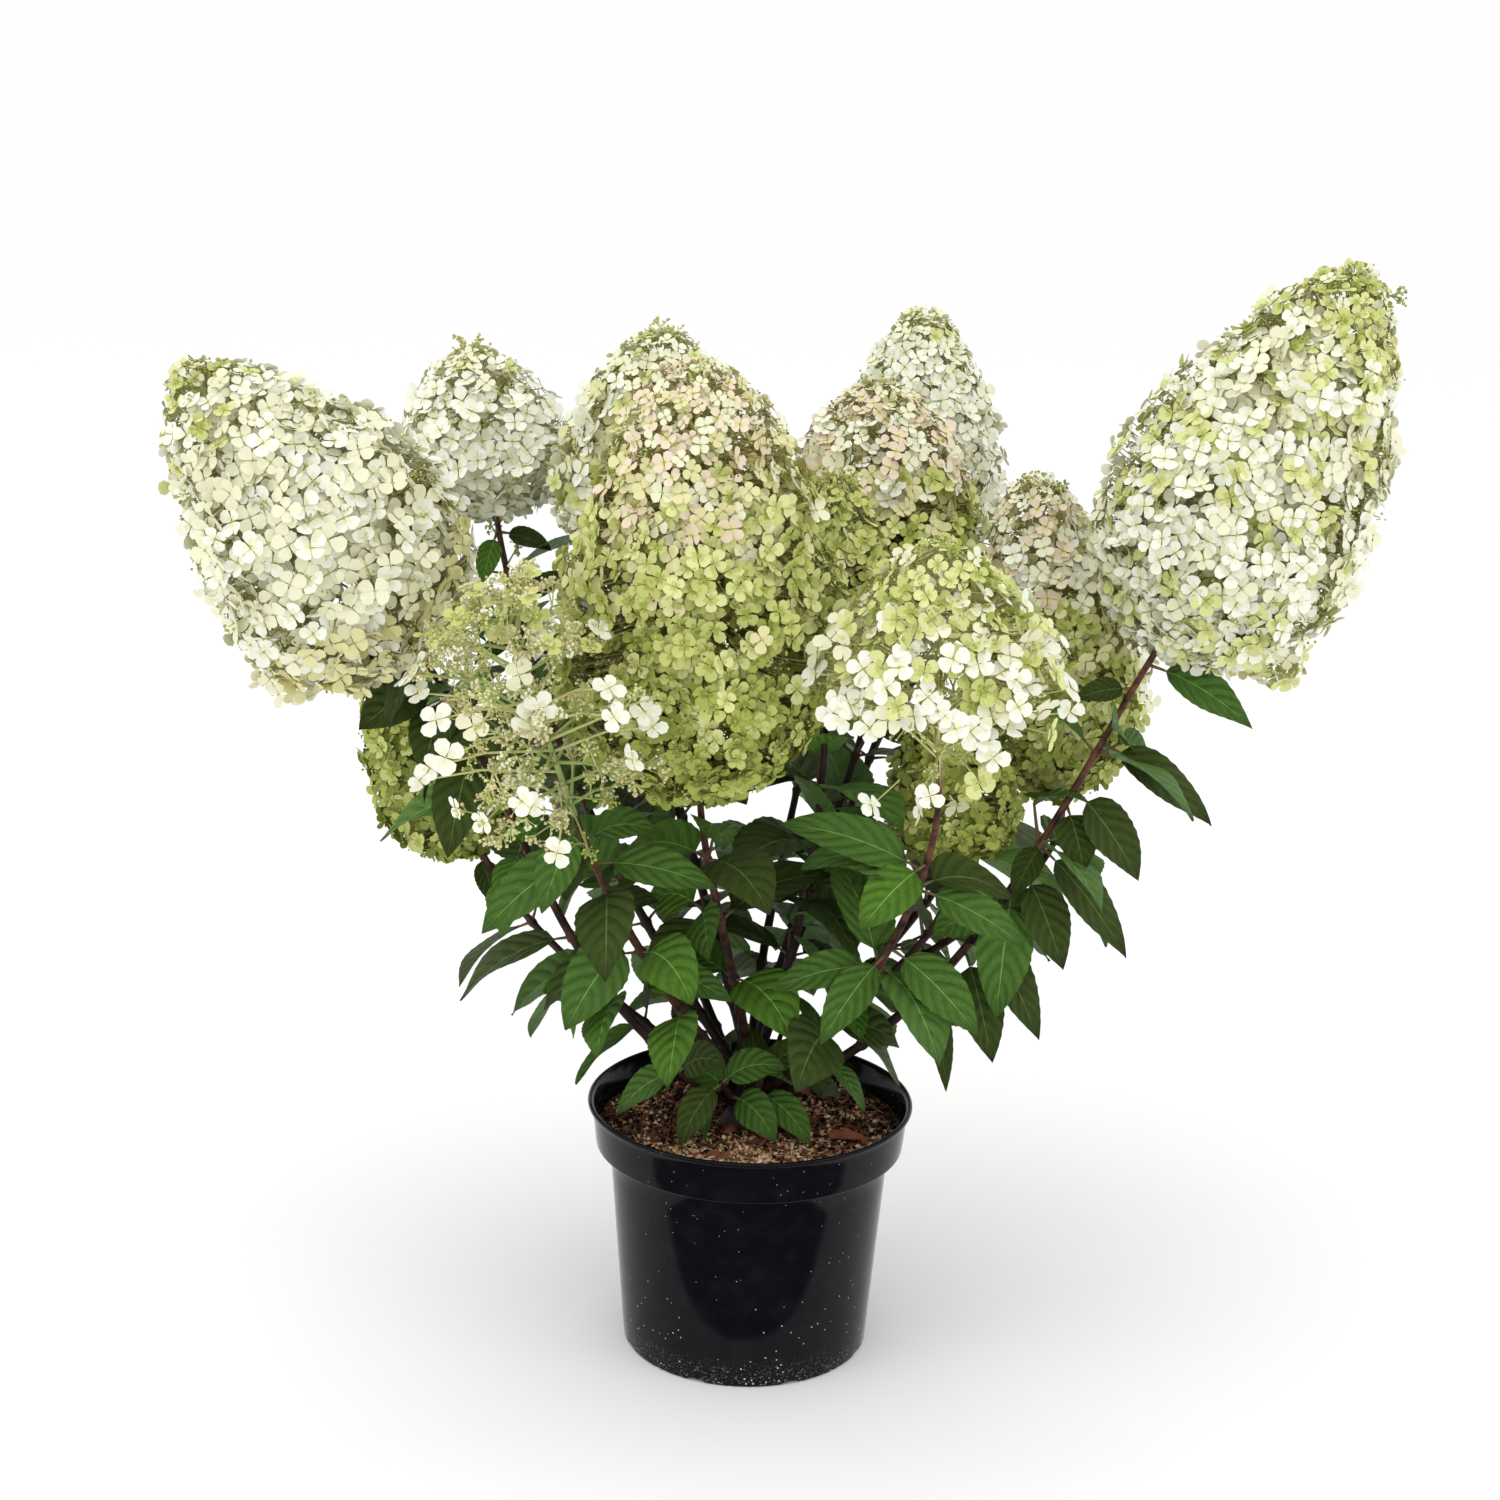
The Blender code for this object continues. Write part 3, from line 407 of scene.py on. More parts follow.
class LeafSettings(bpy.types.PropertyGroup):
    """Size, droop and colours of the leaves."""

    length: FloatProperty(
        name="Length", description="Length of a leaf with its stalk", default=100 * MM,
        min=20 * MM, max=200 * MM, unit="LENGTH")
    width_share: FloatProperty(
        name="Width", description="Width of a leaf as a share of its length", default=0.55,
        min=0.2, max=0.9, subtype="FACTOR")
    spacing: FloatProperty(
        name="Spacing", description="Distance between pairs of leaves", default=54 * MM,
        min=20 * MM, max=150 * MM, unit="LENGTH")
    spread: FloatProperty(
        name="Spread", description="Angle between a leaf and its cane", default=math.radians(62),
        min=0.0, max=math.pi / 2, subtype="ANGLE")
    droop: FloatProperty(
        name="Droop", description="How far a leaf arches down over its length", default=1.20,
        min=0.0, max=2.0)
    deep: FloatVectorProperty(
        name="Deep green", description="Colour of the old leaves", subtype="COLOR",
        default=(0.076, 0.126, 0.014), min=0.0, max=1.0)
    middle: FloatVectorProperty(
        name="Middle green", description="Colour of most leaves", subtype="COLOR",
        default=(0.122, 0.272, 0.038), min=0.0, max=1.0)
    fresh: FloatVectorProperty(
        name="Fresh green", description="Colour of the youngest leaves", subtype="COLOR",
        default=(0.152, 0.345, 0.032), min=0.0, max=1.0)


class PanicleSettings(bpy.types.PropertyGroup):
    """Size and density of the flower heads."""

    floret: FloatProperty(
        name="Floret", description="Width of an open floret", default=23.5 * MM,
        min=8 * MM, max=60 * MM, unit="LENGTH")
    floret_room: FloatProperty(
        name="Room", description="Skin of a flower head for each outer floret, in square metres",
        default=0.00015, min=0.00005, max=0.002, precision=6)
    inner_share: FloatProperty(
        name="Inner florets", description="Inner florets for each outer one", default=0.42,
        min=0.0, max=1.0, subtype="FACTOR")
    gap_share: FloatProperty(
        name="Gaps", description="Share of the skin where florets are missing", default=0.14,
        min=0.0, max=0.5, subtype="FACTOR")
    bud: FloatProperty(
        name="Bud", description="Radius of a closed bud", default=1.5 * MM,
        min=0.3 * MM, max=5 * MM, unit="LENGTH")


# Directions and noise

def direction(turn, rise):
    """The unit vector at a turn from +X and a rise above the horizontal, both in degrees."""
    turn, rise = math.radians(turn), math.radians(rise)
    return np.array((math.cos(turn) * math.cos(rise), math.sin(turn) * math.cos(rise), math.sin(rise)))


def unit(vectors):
    vectors = np.asarray(vectors, float)
    return vectors / np.maximum(np.linalg.norm(vectors, axis=-1, keepdims=True), 1e-12)


def square_to(axis):
    """Two unit vectors square to an axis and to each other."""
    side = np.cross(axis, UP)
    if np.linalg.norm(side) < 1e-6:
        side = np.cross(axis, FORWARD)
    side = unit(side)
    return side, unit(np.cross(side, axis))


def squares_to(axes):
    """The same for many axes at once."""
    sides = np.cross(axes, UP)
    flat = np.linalg.norm(sides, axis=1) < 1e-6
    sides[flat] = np.cross(axes[flat], FORWARD)
    sides = unit(sides)
    return sides, unit(np.cross(sides, axes))


def rough(points, scale, seed=0.0):
    """Smooth noise between about -1 and 1 at each point."""
    shift = Vector((seed, -seed, 0.5 * seed))
    return np.array([noise.noise(Vector(p) / scale + shift) for p in points])


def camera_turn():
    """The camera's rotation, as a matrix."""
    level = Vector((0.0, math.cos(CAMERA_PITCH), -math.sin(CAMERA_PITCH))).to_track_quat("-Z", "Y")
    return level.to_matrix() @ Matrix.Rotation(CAMERA_ROLL, 3, "Z")


def sight_line(photo_x, photo_y):
    """The way from the camera to what shows at a pixel of the photo, one metre deep."""
    aside = (photo_x - 0.5 * IMAGE_SIDE) / FOCAL_PIXELS
    above = (0.5 * IMAGE_SIDE - photo_y) / FOCAL_PIXELS
    return np.array(camera_turn() @ Vector((aside, above, -1.0)))


def depth_of(point):
    """How far a point lies in front of the camera."""
    return float(np.dot(point - np.array(CAMERA_PLACE), np.array(camera_turn() @ Vector((0.0, 0.0, -1.0)))))


def between(low, high, share):
    return low + (high - low) * share


# Meshes

LEAF_MAP = "OFBake"


class Heap:
    """Many small shapes gathered into one mesh, each face with its tint and its place on a leaf map."""

    def __init__(self):
        self.points, self.faces, self.tints, self.places = [], [], [], []
        self.count = 0

    def add(self, points, faces, tint=0, places=None):
        points = np.asarray(points, float).reshape(-1, 3)
        faces = np.asarray(faces, int).reshape(-1, 3)
        self.points.append(points)
        self.faces.append(faces + self.count)
        self.tints.append(np.broadcast_to(np.asarray(tint, int), (len(faces),)))
        if places is not None:
            self.places.append(np.asarray(places, float)[faces].reshape(-1, 2))
        self.count += len(points)

    def scatter(self, shape, origins, frames, tint=0, heart=None):
        """Adds a shape once for each origin, turned and scaled by that origin's frame.

        The faces that the shape lists as its heart can have a tint of their own.
        """
        points, faces, inner = shape if len(shape) == 3 else (*shape, [])
        if len(origins) == 0:
            return
        placed = np.einsum("pk,mkj->mpj", points, frames) + np.asarray(origins)[:, None, :]
        starts = np.arange(len(origins))[:, None, None] * len(points)
        tints = np.repeat(np.broadcast_to(np.asarray(tint, int), (len(origins),))[:, None], len(faces), 1)
        if heart is not None:
            tints[:, inner] = np.asarray(heart)[:, None]
        self.add(placed, (faces[None] + starts).reshape(-1, 3), tints.ravel())

    def scatter_kinds(self, shapes, kinds, origins, frames, tints, hearts=None):
        """Adds several shapes, each over the origins of its own kind."""
        for kind, shape in enumerate(shapes):
            here = kinds == kind
            self.scatter(shape, origins[here], frames[here], tints[here],
                         None if hearts is None else hearts[here])

    def add_sticks(self, starts, ends, foot_radius, tip_radius, tint, sides=3):
        """Adds many straight stalks, all in one tint or each in its own."""
        points, faces = sticks(starts, ends, foot_radius, tip_radius, sides)
        self.add(points, faces, np.repeat(tint, 2 * sides) if np.ndim(tint) else tint)

    def build(self, name, materials, smooth=True, slot_name=None):
        points = np.concatenate(self.points)
        faces = np.concatenate(self.faces)
        tints = np.concatenate(self.tints)
        mesh = bpy.data.meshes.new(name)
        mesh.vertices.add(len(points))
        mesh.vertices.foreach_set("co", points.astype(np.float32).ravel())
        mesh.loops.add(3 * len(faces))
        mesh.loops.foreach_set("vertex_index", faces.astype(np.int32).ravel())
        mesh.polygons.add(len(faces))
        mesh.polygons.foreach_set("loop_start", np.arange(0, 3 * len(faces), 3, dtype=np.int32))
        used = sorted(set(tints.tolist()))
        order = np.zeros(max(used) + 1, np.int32)
        for k, tint in enumerate(used):
            order[tint] = k
            mesh.materials.append(materials[tint])
        mesh.polygons.foreach_set("material_index", order[tints])
        if self.places:
            layer = mesh.uv_layers.new(name=LEAF_MAP)
            layer.data.foreach_set("uv", np.concatenate(self.places).astype(np.float32).ravel())
        mesh.update(calc_edges=True)
        if smooth:
            mesh.shade_smooth()
        obj = bpy.data.objects.new(name, mesh)
        bpy.context.scene.collection.objects.link(obj)
        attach(obj, "root")
        return obj


def sweep(points, radii, sides, headings=None):
    """Points and faces of a closed tube along a path. Radii may be one a ring, or one a corner."""
    points = np.asarray(points, float)
    count = len(points)
    if headings is None:
        headings = unit(np.gradient(points, axis=0))
    side = square_to(headings[0])[0]
    angles = np.arange(sides) * (math.tau / sides)
    rings = []
    for centre, heading, radius in zip(points, headings, radii):
        side = unit(side - heading * np.dot(side, heading))
        other = np.cross(heading, side)
        ring = np.outer(np.cos(angles), side) + np.outer(np.sin(angles), other)
        rings.append(centre + ring * np.reshape(radius, (-1, 1)))
    corners = np.concatenate(rings + [points[:1], points[-1:]])
    faces = []
    for k in range(count - 1):
        low = k * sides + np.arange(sides)
        after = k * sides + (np.arange(sides) + 1) % sides
        faces += [np.stack([low, after, after + sides], 1), np.stack([low, after + sides, low + sides], 1)]
    first, last = count * sides, count * sides + 1
    ring = np.arange(sides)
    after = (ring + 1) % sides
    top = (count - 1) * sides
    faces.append(np.stack([np.full(sides, first), after, ring], 1))
    faces.append(np.stack([np.full(sides, last), top + ring, top + after], 1))
    return corners, np.concatenate(faces)


def sticks(starts, ends, foot_radius, tip_radius, sides=3):
    """Points and faces of many straight stalks, each an open tube."""
    starts, ends = np.asarray(starts, float), np.asarray(ends, float)
    side, other = squares_to(unit(ends - starts))
    angles = np.arange(sides) * (math.tau / sides)
    ring = (np.cos(angles)[None, :, None] * side[:, None] + np.sin(angles)[None, :, None] * other[:, None])
    foot_radius = np.broadcast_to(foot_radius, (len(starts),))[:, None, None]
    tip_radius = np.broadcast_to(tip_radius, (len(starts),))[:, None, None]
    low = starts[:, None] + ring * foot_radius
    high = ends[:, None] + ring * tip_radius
    points = np.concatenate([low, high], 1).reshape(-1, 3)
    k = np.arange(sides)
    after = (k + 1) % sides
    one = np.concatenate([np.stack([k, k + sides, after], 1), np.stack([after, k + sides, after + sides], 1)])
    faces = one[None] + (np.arange(len(starts)) * 2 * sides)[:, None, None]
    return points, faces.reshape(-1, 3)


def bead(bands=1, sides=4):
    """A small round bead of unit radius."""
    points = [(0.0, 0.0, -1.0)]
    for k in range(bands):
        angle = math.pi * ((k + 1) / (bands + 1) - 0.5)
        for j in range(sides):
            turn = math.tau * (j + 0.5 * k) / sides
            points.append((math.cos(angle) * math.cos(turn), math.cos(angle) * math.sin(turn),
                           math.sin(angle)))
    points.append((0.0, 0.0, 1.0))
    faces = []
    for j in range(sides):
        after = (j + 1) % sides
        faces.append((0, 1 + after, 1 + j))
        for k in range(bands - 1):
            low = 1 + k * sides
            faces.append((low + j, low + after, low + sides + j))
            faces.append((low + after, low + sides + after, low + sides + j))
        top = 1 + (bands - 1) * sides
        faces.append((top + j, top + after, len(points) - 1))
    return np.array(points), np.array(faces)


def turned_frames(facings, spins, scales):
    """Frames whose third row is the facing and whose other rows are turned about it."""
    side, other = squares_to(facings)
    c, s = np.cos(spins)[:, None], np.sin(spins)[:, None]
    first = side * c + other * s
    second = np.cross(facings, first)
    frames = np.stack([first, second, facings], 1)
    return frames * np.asarray(scales)[:, None, None]


# Materials

def shader_of(material):
    return material.node_tree.nodes["Principled BSDF"]


def new_material(name, colour, roughness, specular=0.5):
    material = bpy.data.materials.new(name)
    material.use_nodes = True
    shader = shader_of(material)
    shader.inputs["Base Color"].default_value = (*colour, 1.0)
    shader.inputs["Roughness"].default_value = roughness
    shader.inputs["Specular IOR Level"].default_value = specular
    material.diffuse_color = (*colour, 1.0)
    return material


class Nodes:
    """Short ways to add and join the nodes of one material."""

    def __init__(self, material):
        self.tree = material.node_tree
        self.shader = shader_of(material)

    def add(self, kind, inputs=None, **settings):
        node = self.tree.nodes.new(kind)
        for key, value in settings.items():
            setattr(node, key, value)
        for key, value in (inputs or {}).items():
            self.feed(node.inputs[key], value)
        return node

    def feed(self, socket, value):
        if isinstance(value, bpy.types.NodeSocket):
            self.tree.links.new(value, socket)
        elif hasattr(value, "__len__") and len(value) == 3 and len(socket.default_value) == 4:
            socket.default_value = (*value, 1.0)
        else:
            socket.default_value = value

    def maths(self, operation, first, second=0.0, third=0.0):
        node = self.add("ShaderNodeMath", operation=operation)
        for socket, value in zip(node.inputs, (first, second, third)):
            self.feed(socket, value)
        return node.outputs[0]

    def times(self, first, second):
        return self.maths("MULTIPLY", first, second)

    def mix(self, share, first, second):
        node = self.add("ShaderNodeMix", data_type="RGBA")
        self.feed(node.inputs[0], share)
        self.feed(node.inputs[6], first)
        self.feed(node.inputs[7], second)
        return node.outputs[2]

    def ramp(self, value, low, high):
        node = self.add("ShaderNodeMapRange", {"Value": value, "From Min": low, "From Max": high})
        return node.outputs[0]

    def noise(self, scale, detail=3.0, vector=None, roughness=0.5):
        node = self.add("ShaderNodeTexNoise", {"Scale": scale, "Detail": detail, "Roughness": roughness})
        if vector is not None:
            self.feed(node.inputs["Vector"], vector)
        return node.outputs[0]

    def place(self):
        return self.add("ShaderNodeTexCoord").outputs["Object"]

    def bump(self, height, strength, distance):
        node = self.add("ShaderNodeBump", {"Height": height, "Strength": strength, "Distance": distance})
        self.feed(self.shader.inputs["Normal"], node.outputs[0])


# Canes

class Course:
    """The course of a stem: a smooth path that can be read at any distance along it."""

    def __init__(self, points):
        self.points = np.asarray(points, float)
        steps = np.linalg.norm(np.diff(self.points, axis=0), axis=1)
        self.distances = np.concatenate([[0.0], np.cumsum(steps)])
        self.length = self.distances[-1]
        self.headings = unit(np.gradient(self.points, axis=0))

    def at(self, far):
        far = np.atleast_1d(far)
        places = np.stack([np.interp(far, self.distances, self.points[:, k]) for k in range(3)], 1)
        headings = np.stack([np.interp(far, self.distances, self.headings[:, k]) for k in range(3)], 1)
        return places, unit(headings)


def heart_at(level):
    return UP * (SOIL_TOP + GAP + level)


def panicle_foot(shoot):
    return direction(shoot.turn, 0) * shoot.reach + UP * shoot.height


def panicle_heading(shoot):
    return direction(shoot.lean_turn, 90 - shoot.lean)


def cane_course(shoot):
    """The cane from its stub to the foot of its panicle, by the solids' rule."""
    aim = direction(shoot.foot_turn, shoot.rise)
    start = heart_at(shoot.foot_level) + aim * STUB_LENGTH
    end = panicle_foot(shoot)
    span = np.linalg.norm(end - start)
    first = start + aim * (CANE_START_PULL * span)
    second = end - panicle_heading(shoot) * (CANE_END_PULL * span)
    t = np.linspace(0.0, 1.0, CANE_STEPS + 1)[:, None]
    u = 1.0 - t
    return Course(start * u**3 + first * (3 * u * u * t) + second * (3 * u * t * t) + end * t**3)


def low_course(low):
    aim = direction(low.turn, low.rise)
    start = heart_at(LOW_SHOOT_LEVEL) + aim * (LOW_STUB_LENGTH + GAP)
    end = start + aim * low.length + UP * (LOW_SHOOT_LIFT * low.length)
    return Course([start, start + aim * (0.5 * low.length), end])


# Canes whose pairs of leaves stand closer or wider apart, with the share of the common distance
LEAFY = {"far_left": 1.10, "back_left": 0.70, "front_left": 1.50, "low_left": 1.00, "right": 0.95,
         "centre": 1.00, "behind_centre": 0.70, "centre_right": 0.75, "mid_right": 0.85, "far_right": 1.60,
         "front_right": 1.60, "low_right": 1.10}


def node_places(shoot, course, spacing):
    """Distances along a cane of the nodes that carry its leaves."""
    spacing = spacing * LEAFY.get(shoot.name, 1.0)
    low, high = BARE_SHARE * course.length + GAP, course.length - GAP
    room = high - low - 2 * NODE_MARGIN
    count = max(2, round(room / spacing))
    return low + NODE_MARGIN + room * np.arange(count) / count


def low_places(low, course):
    shares = np.arange(low.nodes) / (low.nodes - 1)
    # Moist peat with dry brown fibres and crumbs.  The crumb colour covers random dry patches and, as painted
    # light, the front of the soil, which lies out of the plant's shade; the back keeps the dark peat as
    # painted shade.
    return course.length * between(LOW_NODE_SHARES[0], LOW_NODE_SHARES[1], shares)


RING_STEP = 3.2 * MM
NODE_SWELLING = 0.42
NODE_SPAN = 2.6 * MM
# Random dry patches, and the front of the soil painted pale as painted light
BARK_RELIEF = 0.07


def bark_radii(centres, radii, sides, knots, far, seed):
    """Radii of every corner of a cane: its taper, swollen nodes and shallow furrows."""
    swell = np.ones(len(far))
    for knot in knots:
        swell += NODE_SWELLING * np.exp(-(((far - knot) / NODE_SPAN) ** 2))
    rows = []
    for k, (centre, radius) in enumerate(zip(centres, radii)):
        around = [Vector((math.cos(a) * 0.9, math.sin(a) * 0.9, far[k] / (14 * MM) + seed))
                  for a in np.arange(sides) * math.tau / sides]
        furrow = np.array([noise.noise(v * 1.6) for v in around])
        rows.append(radius * swell[k] * (1.0 + BARK_RELIEF * furrow))
    return rows


def cane_mesh(shoot, number, settings, spacing):
    """A cane from inside the stump to inside its panicle, with the relief of its bark."""
    course = cane_course(shoot)
    aim = direction(shoot.foot_turn, shoot.rise)
    lead = heart_at(shoot.foot_level) + aim * 4 * MM
    tail_length = (0.04 if shoot.airy else 0.5) * shoot.length
    tail = panicle_foot(shoot) + panicle_heading(shoot) * tail_length
    rings = max(8, int((course.length + 26 * MM) / RING_STEP))
    far = np.linspace(0.0, course.length, rings)
    places, headings = course.at(far)
    places = np.concatenate([[lead], places, [tail]])
    headings = np.concatenate([[aim], headings, [panicle_heading(shoot)]])
    share = np.concatenate([[0.0], far / course.length, [1.0]])
    radii = between(settings.foot_radius, settings.tip_radius, share)
    radii[0] *= 1.6
    radii[-1] *= 0.35
    knots = list(node_places(shoot, course, spacing))
    low = BARE_SHARE * course.length
    knots += [low * k / 3 for k in (1, 2)]
    far_all = np.concatenate([[-30 * MM], far, [course.length + tail_length]])
    corner_radii = bark_radii(places, radii, settings.sides, knots, far_all, 7.0 * number)
    return sweep(places, corner_radii, settings.sides, headings)


STUMP_SIDES = 28
STUMP_RINGS = 26
STUMP_RELIEF = 0.16
CUT_STUBS = ((30, 40, 17 * MM, 5 * MM), (110, 56, 15 * MM, 4.2 * MM), (205, 62, 16 * MM, 4.6 * MM),
             (290, 52, 15 * MM, 4.4 * MM), (350, 66, 18 * MM, 4.8 * MM))  # turn, rise, length, radius


def stump_mesh():
    """The woody stump: a flared, knobbly body with a rounded top."""
    points, faces = [], []
    levels = np.linspace(0.0, HEAD_LEVELS[-1], STUMP_RINGS)
    base = heart_at(-1.5 * MM)
    for k, level in enumerate(levels):
        radius = np.interp(level, HEAD_LEVELS, HEAD_RADII)
        for j in range(STUMP_SIDES):
            angle = math.tau * j / STUMP_SIDES
            knob = noise.noise(Vector((2.2 * math.cos(angle), 2.2 * math.sin(angle), level / (16 * MM))))
            ridge = noise.noise(Vector((6 * math.cos(angle), 6 * math.sin(angle), level / (40 * MM))))
            r = radius * (1.0 + STUMP_RELIEF * knob + 0.5 * STUMP_RELIEF * ridge)
            points.append(base + np.array((r * math.cos(angle), r * math.sin(angle), level)))
    points.append(base + UP * (HEAD_LEVELS[-1] + 3 * MM))
    for k in range(STUMP_RINGS - 1):
        for j in range(STUMP_SIDES):
            low, after = k * STUMP_SIDES + j, k * STUMP_SIDES + (j + 1) % STUMP_SIDES
            faces += [(low, after, after + STUMP_SIDES), (low, after + STUMP_SIDES, low + STUMP_SIDES)]
    top = (STUMP_RINGS - 1) * STUMP_SIDES
    for j in range(STUMP_SIDES):
        faces.append((top + j, top + (j + 1) % STUMP_SIDES, len(points) - 1))
    return np.array(points), np.array(faces)


def cut_stub(turn, rise, length, radius, number):
    """A short stub where an old cane was pruned off, with a bevelled cut."""
    aim = direction(turn, rise)
    start = heart_at(MIDDLE)
    reach = np.array((0.0, 0.4, 0.75, 0.93, 1.0, 1.0)) * (length + 14 * MM)
    radii = radius * np.array((1.25, 1.05, 1.0, 1.06, 0.9, 0.4))
    points = start + aim * reach[:, None]
    relief = 1.0 + 0.08 * rough(np.arange(12)[:, None] * np.ones((1, 3)), 1.7, number)
    return sweep(points, [r * relief for r in radii], 12, np.tile(aim, (len(points), 1)))


def bark_material(settings):
    """Purple-brown bark: darker furrows, paler pores and a redder tone on young wood.

    The redder tone is painted light as well: it is strongest on the canes at the front and outer sides,
    where light falls, and the canes inside the bush keep the dark bark as painted shade.
    """
    material = new_material("cane_bark", settings.bark, 0.50, 0.3)
    nodes = Nodes(material)
    split = nodes.add("ShaderNodeSeparateXYZ", {0: nodes.place()})
    young = nodes.ramp(split.outputs[2], 0.24, 0.52)
    patches = nodes.noise(60.0, 2.0)
    # Painted light: the front of the plant and its outer sides count as lit, and only there the red shows
    # fully
    outer = nodes.ramp(nodes.maths("ABSOLUTE", split.outputs[0]), 0.07, 0.17)
    lit = nodes.maths("MAXIMUM", nodes.ramp(split.outputs[1], 0.01, -0.05), outer)
    red_where_young_and_lit = nodes.times(nodes.ramp(patches, 0.30, 0.65), nodes.ramp(young, -0.35, 1.0))
    red_where_young_and_lit = nodes.times(red_where_young_and_lit, nodes.ramp(lit, -0.2, 1.0))
    base = nodes.mix(red_where_young_and_lit, tuple(settings.bark), tuple(settings.lit_young_bark))
    streaks = nodes.noise(260.0, 4.0, roughness=0.7)
    pores = nodes.ramp(streaks, 0.62, 0.74)
    colour = nodes.mix(nodes.times(pores, 0.30), base, (0.34, 0.20, 0.13))
    nodes.feed(nodes.shader.inputs["Base Color"], colour)
    nodes.bump(streaks, 0.5, 0.6 * MM)
    return material


def build_canes(context):
    settings, leaves = context.scene.hydrangea_canes, context.scene.hydrangea_leaves
    heap = Heap()
    heap.add(*stump_mesh())
    for number, (turn, rise, length, radius) in enumerate(CUT_STUBS):
        heap.add(*cut_stub(turn, rise, length, radius, number))
    for number, shoot in enumerate(SHOOTS):
        heap.add(*cane_mesh(shoot, number, settings, leaves.spacing))
    for number, low in enumerate(LOW_SHOOTS):
        course = low_course(low)
        upward = course.at(np.linspace(0, course.length, 14))[0]
        points = np.concatenate([[heart_at(LOW_SHOOT_LEVEL)], upward])
        radii = np.linspace(3.2 * MM, 1.8 * MM, len(points))
        heap.add(*sweep(points, radii, 8))
    obj = heap.build("canes_bark", [bark_material(settings)], slot_name="bark")
    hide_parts("trunk", *("cane_" + shoot.name for shoot in SHOOTS))


# Leaves

LEAF_ROWS = 20
LEAF_HALF_COLUMNS = 3
STALK_SHARE = 0.13
LEAF_THICKNESS = 0.45 * MM
LEAF_FOLD = 0.20
LEAF_WAVE = 0.05
TOOTH_SIZE = 0.045
VEIN_PAIRS = 6
VEIN_SWEEP = 0.30
VEIN_DEPTH = 0.020
LEAF_TURNS = (0, 22, -22, 44, -44, 66, -66)
LEAF_LENGTHS = (0.84, 1.10)
LEAF_DROOPS = (0.7, 1.3)
LEAF_TWIST = 12
LEAF_SEED = 100
LOW_LEAF_SEED = 300
LOW_LEAF_SHARE = 0.80
ROOT_OFFSET = 0.5 * MM
COARSE_SECTIONS = (0.0, 0.16, 0.45, 0.76, 1.0)
COARSE_WIDTHS = (0.02, 0.15, 1.0, 0.7, 0.02)


def blade_width(share):
    """Half the width of a blade at a share of its length, as a share of its widest."""
    share = np.clip(share, 0.0, 1.0)
    return share**0.55 * (1.0 - share) / 0.3649


def leaf_spine(root, aim, top, length, droop, shares):
    """Places, headings and normals along a leaf that arches down from its root."""
    place, heading, normal, done = root, unit(aim), unit(top), 0.0
    places, headings, normals = [], [], []
    for share in shares:
        heading = unit(heading - UP * (droop * (share - done)))
        normal = unit(normal - heading * np.dot(normal, heading))
        place = place + heading * (length * (share - done))
        done = share
        places.append(place)
        headings.append(heading)
        normals.append(normal)
    return np.array(places), np.array(headings), np.array(normals)


def coarse_leaf(root, aim, top, length, droop, width_share):
    """A plain strip in a leaf's place, to test whether there is room for it."""
    places, headings, normals = leaf_spine(root, aim, top, length, droop, COARSE_SECTIONS)
    half = 0.5 * width_share * length * np.array(COARSE_WIDTHS)[:, None]
    sides = np.cross(headings, normals) * half
    lift = normals * (LEAF_FOLD * half)
    points = np.stack([places - sides + lift, places, places + sides + lift], 1).reshape(-1, 3)
    faces = []
    for k in range(len(COARSE_SECTIONS) - 1):
        for j in range(2):
            a = 3 * k + j
            faces += [(a, a + 1, a + 4), (a, a + 4, a + 3)]
    return points, faces


Leaf = namedtuple("Leaf", "root aim top length droop wave tone slim")


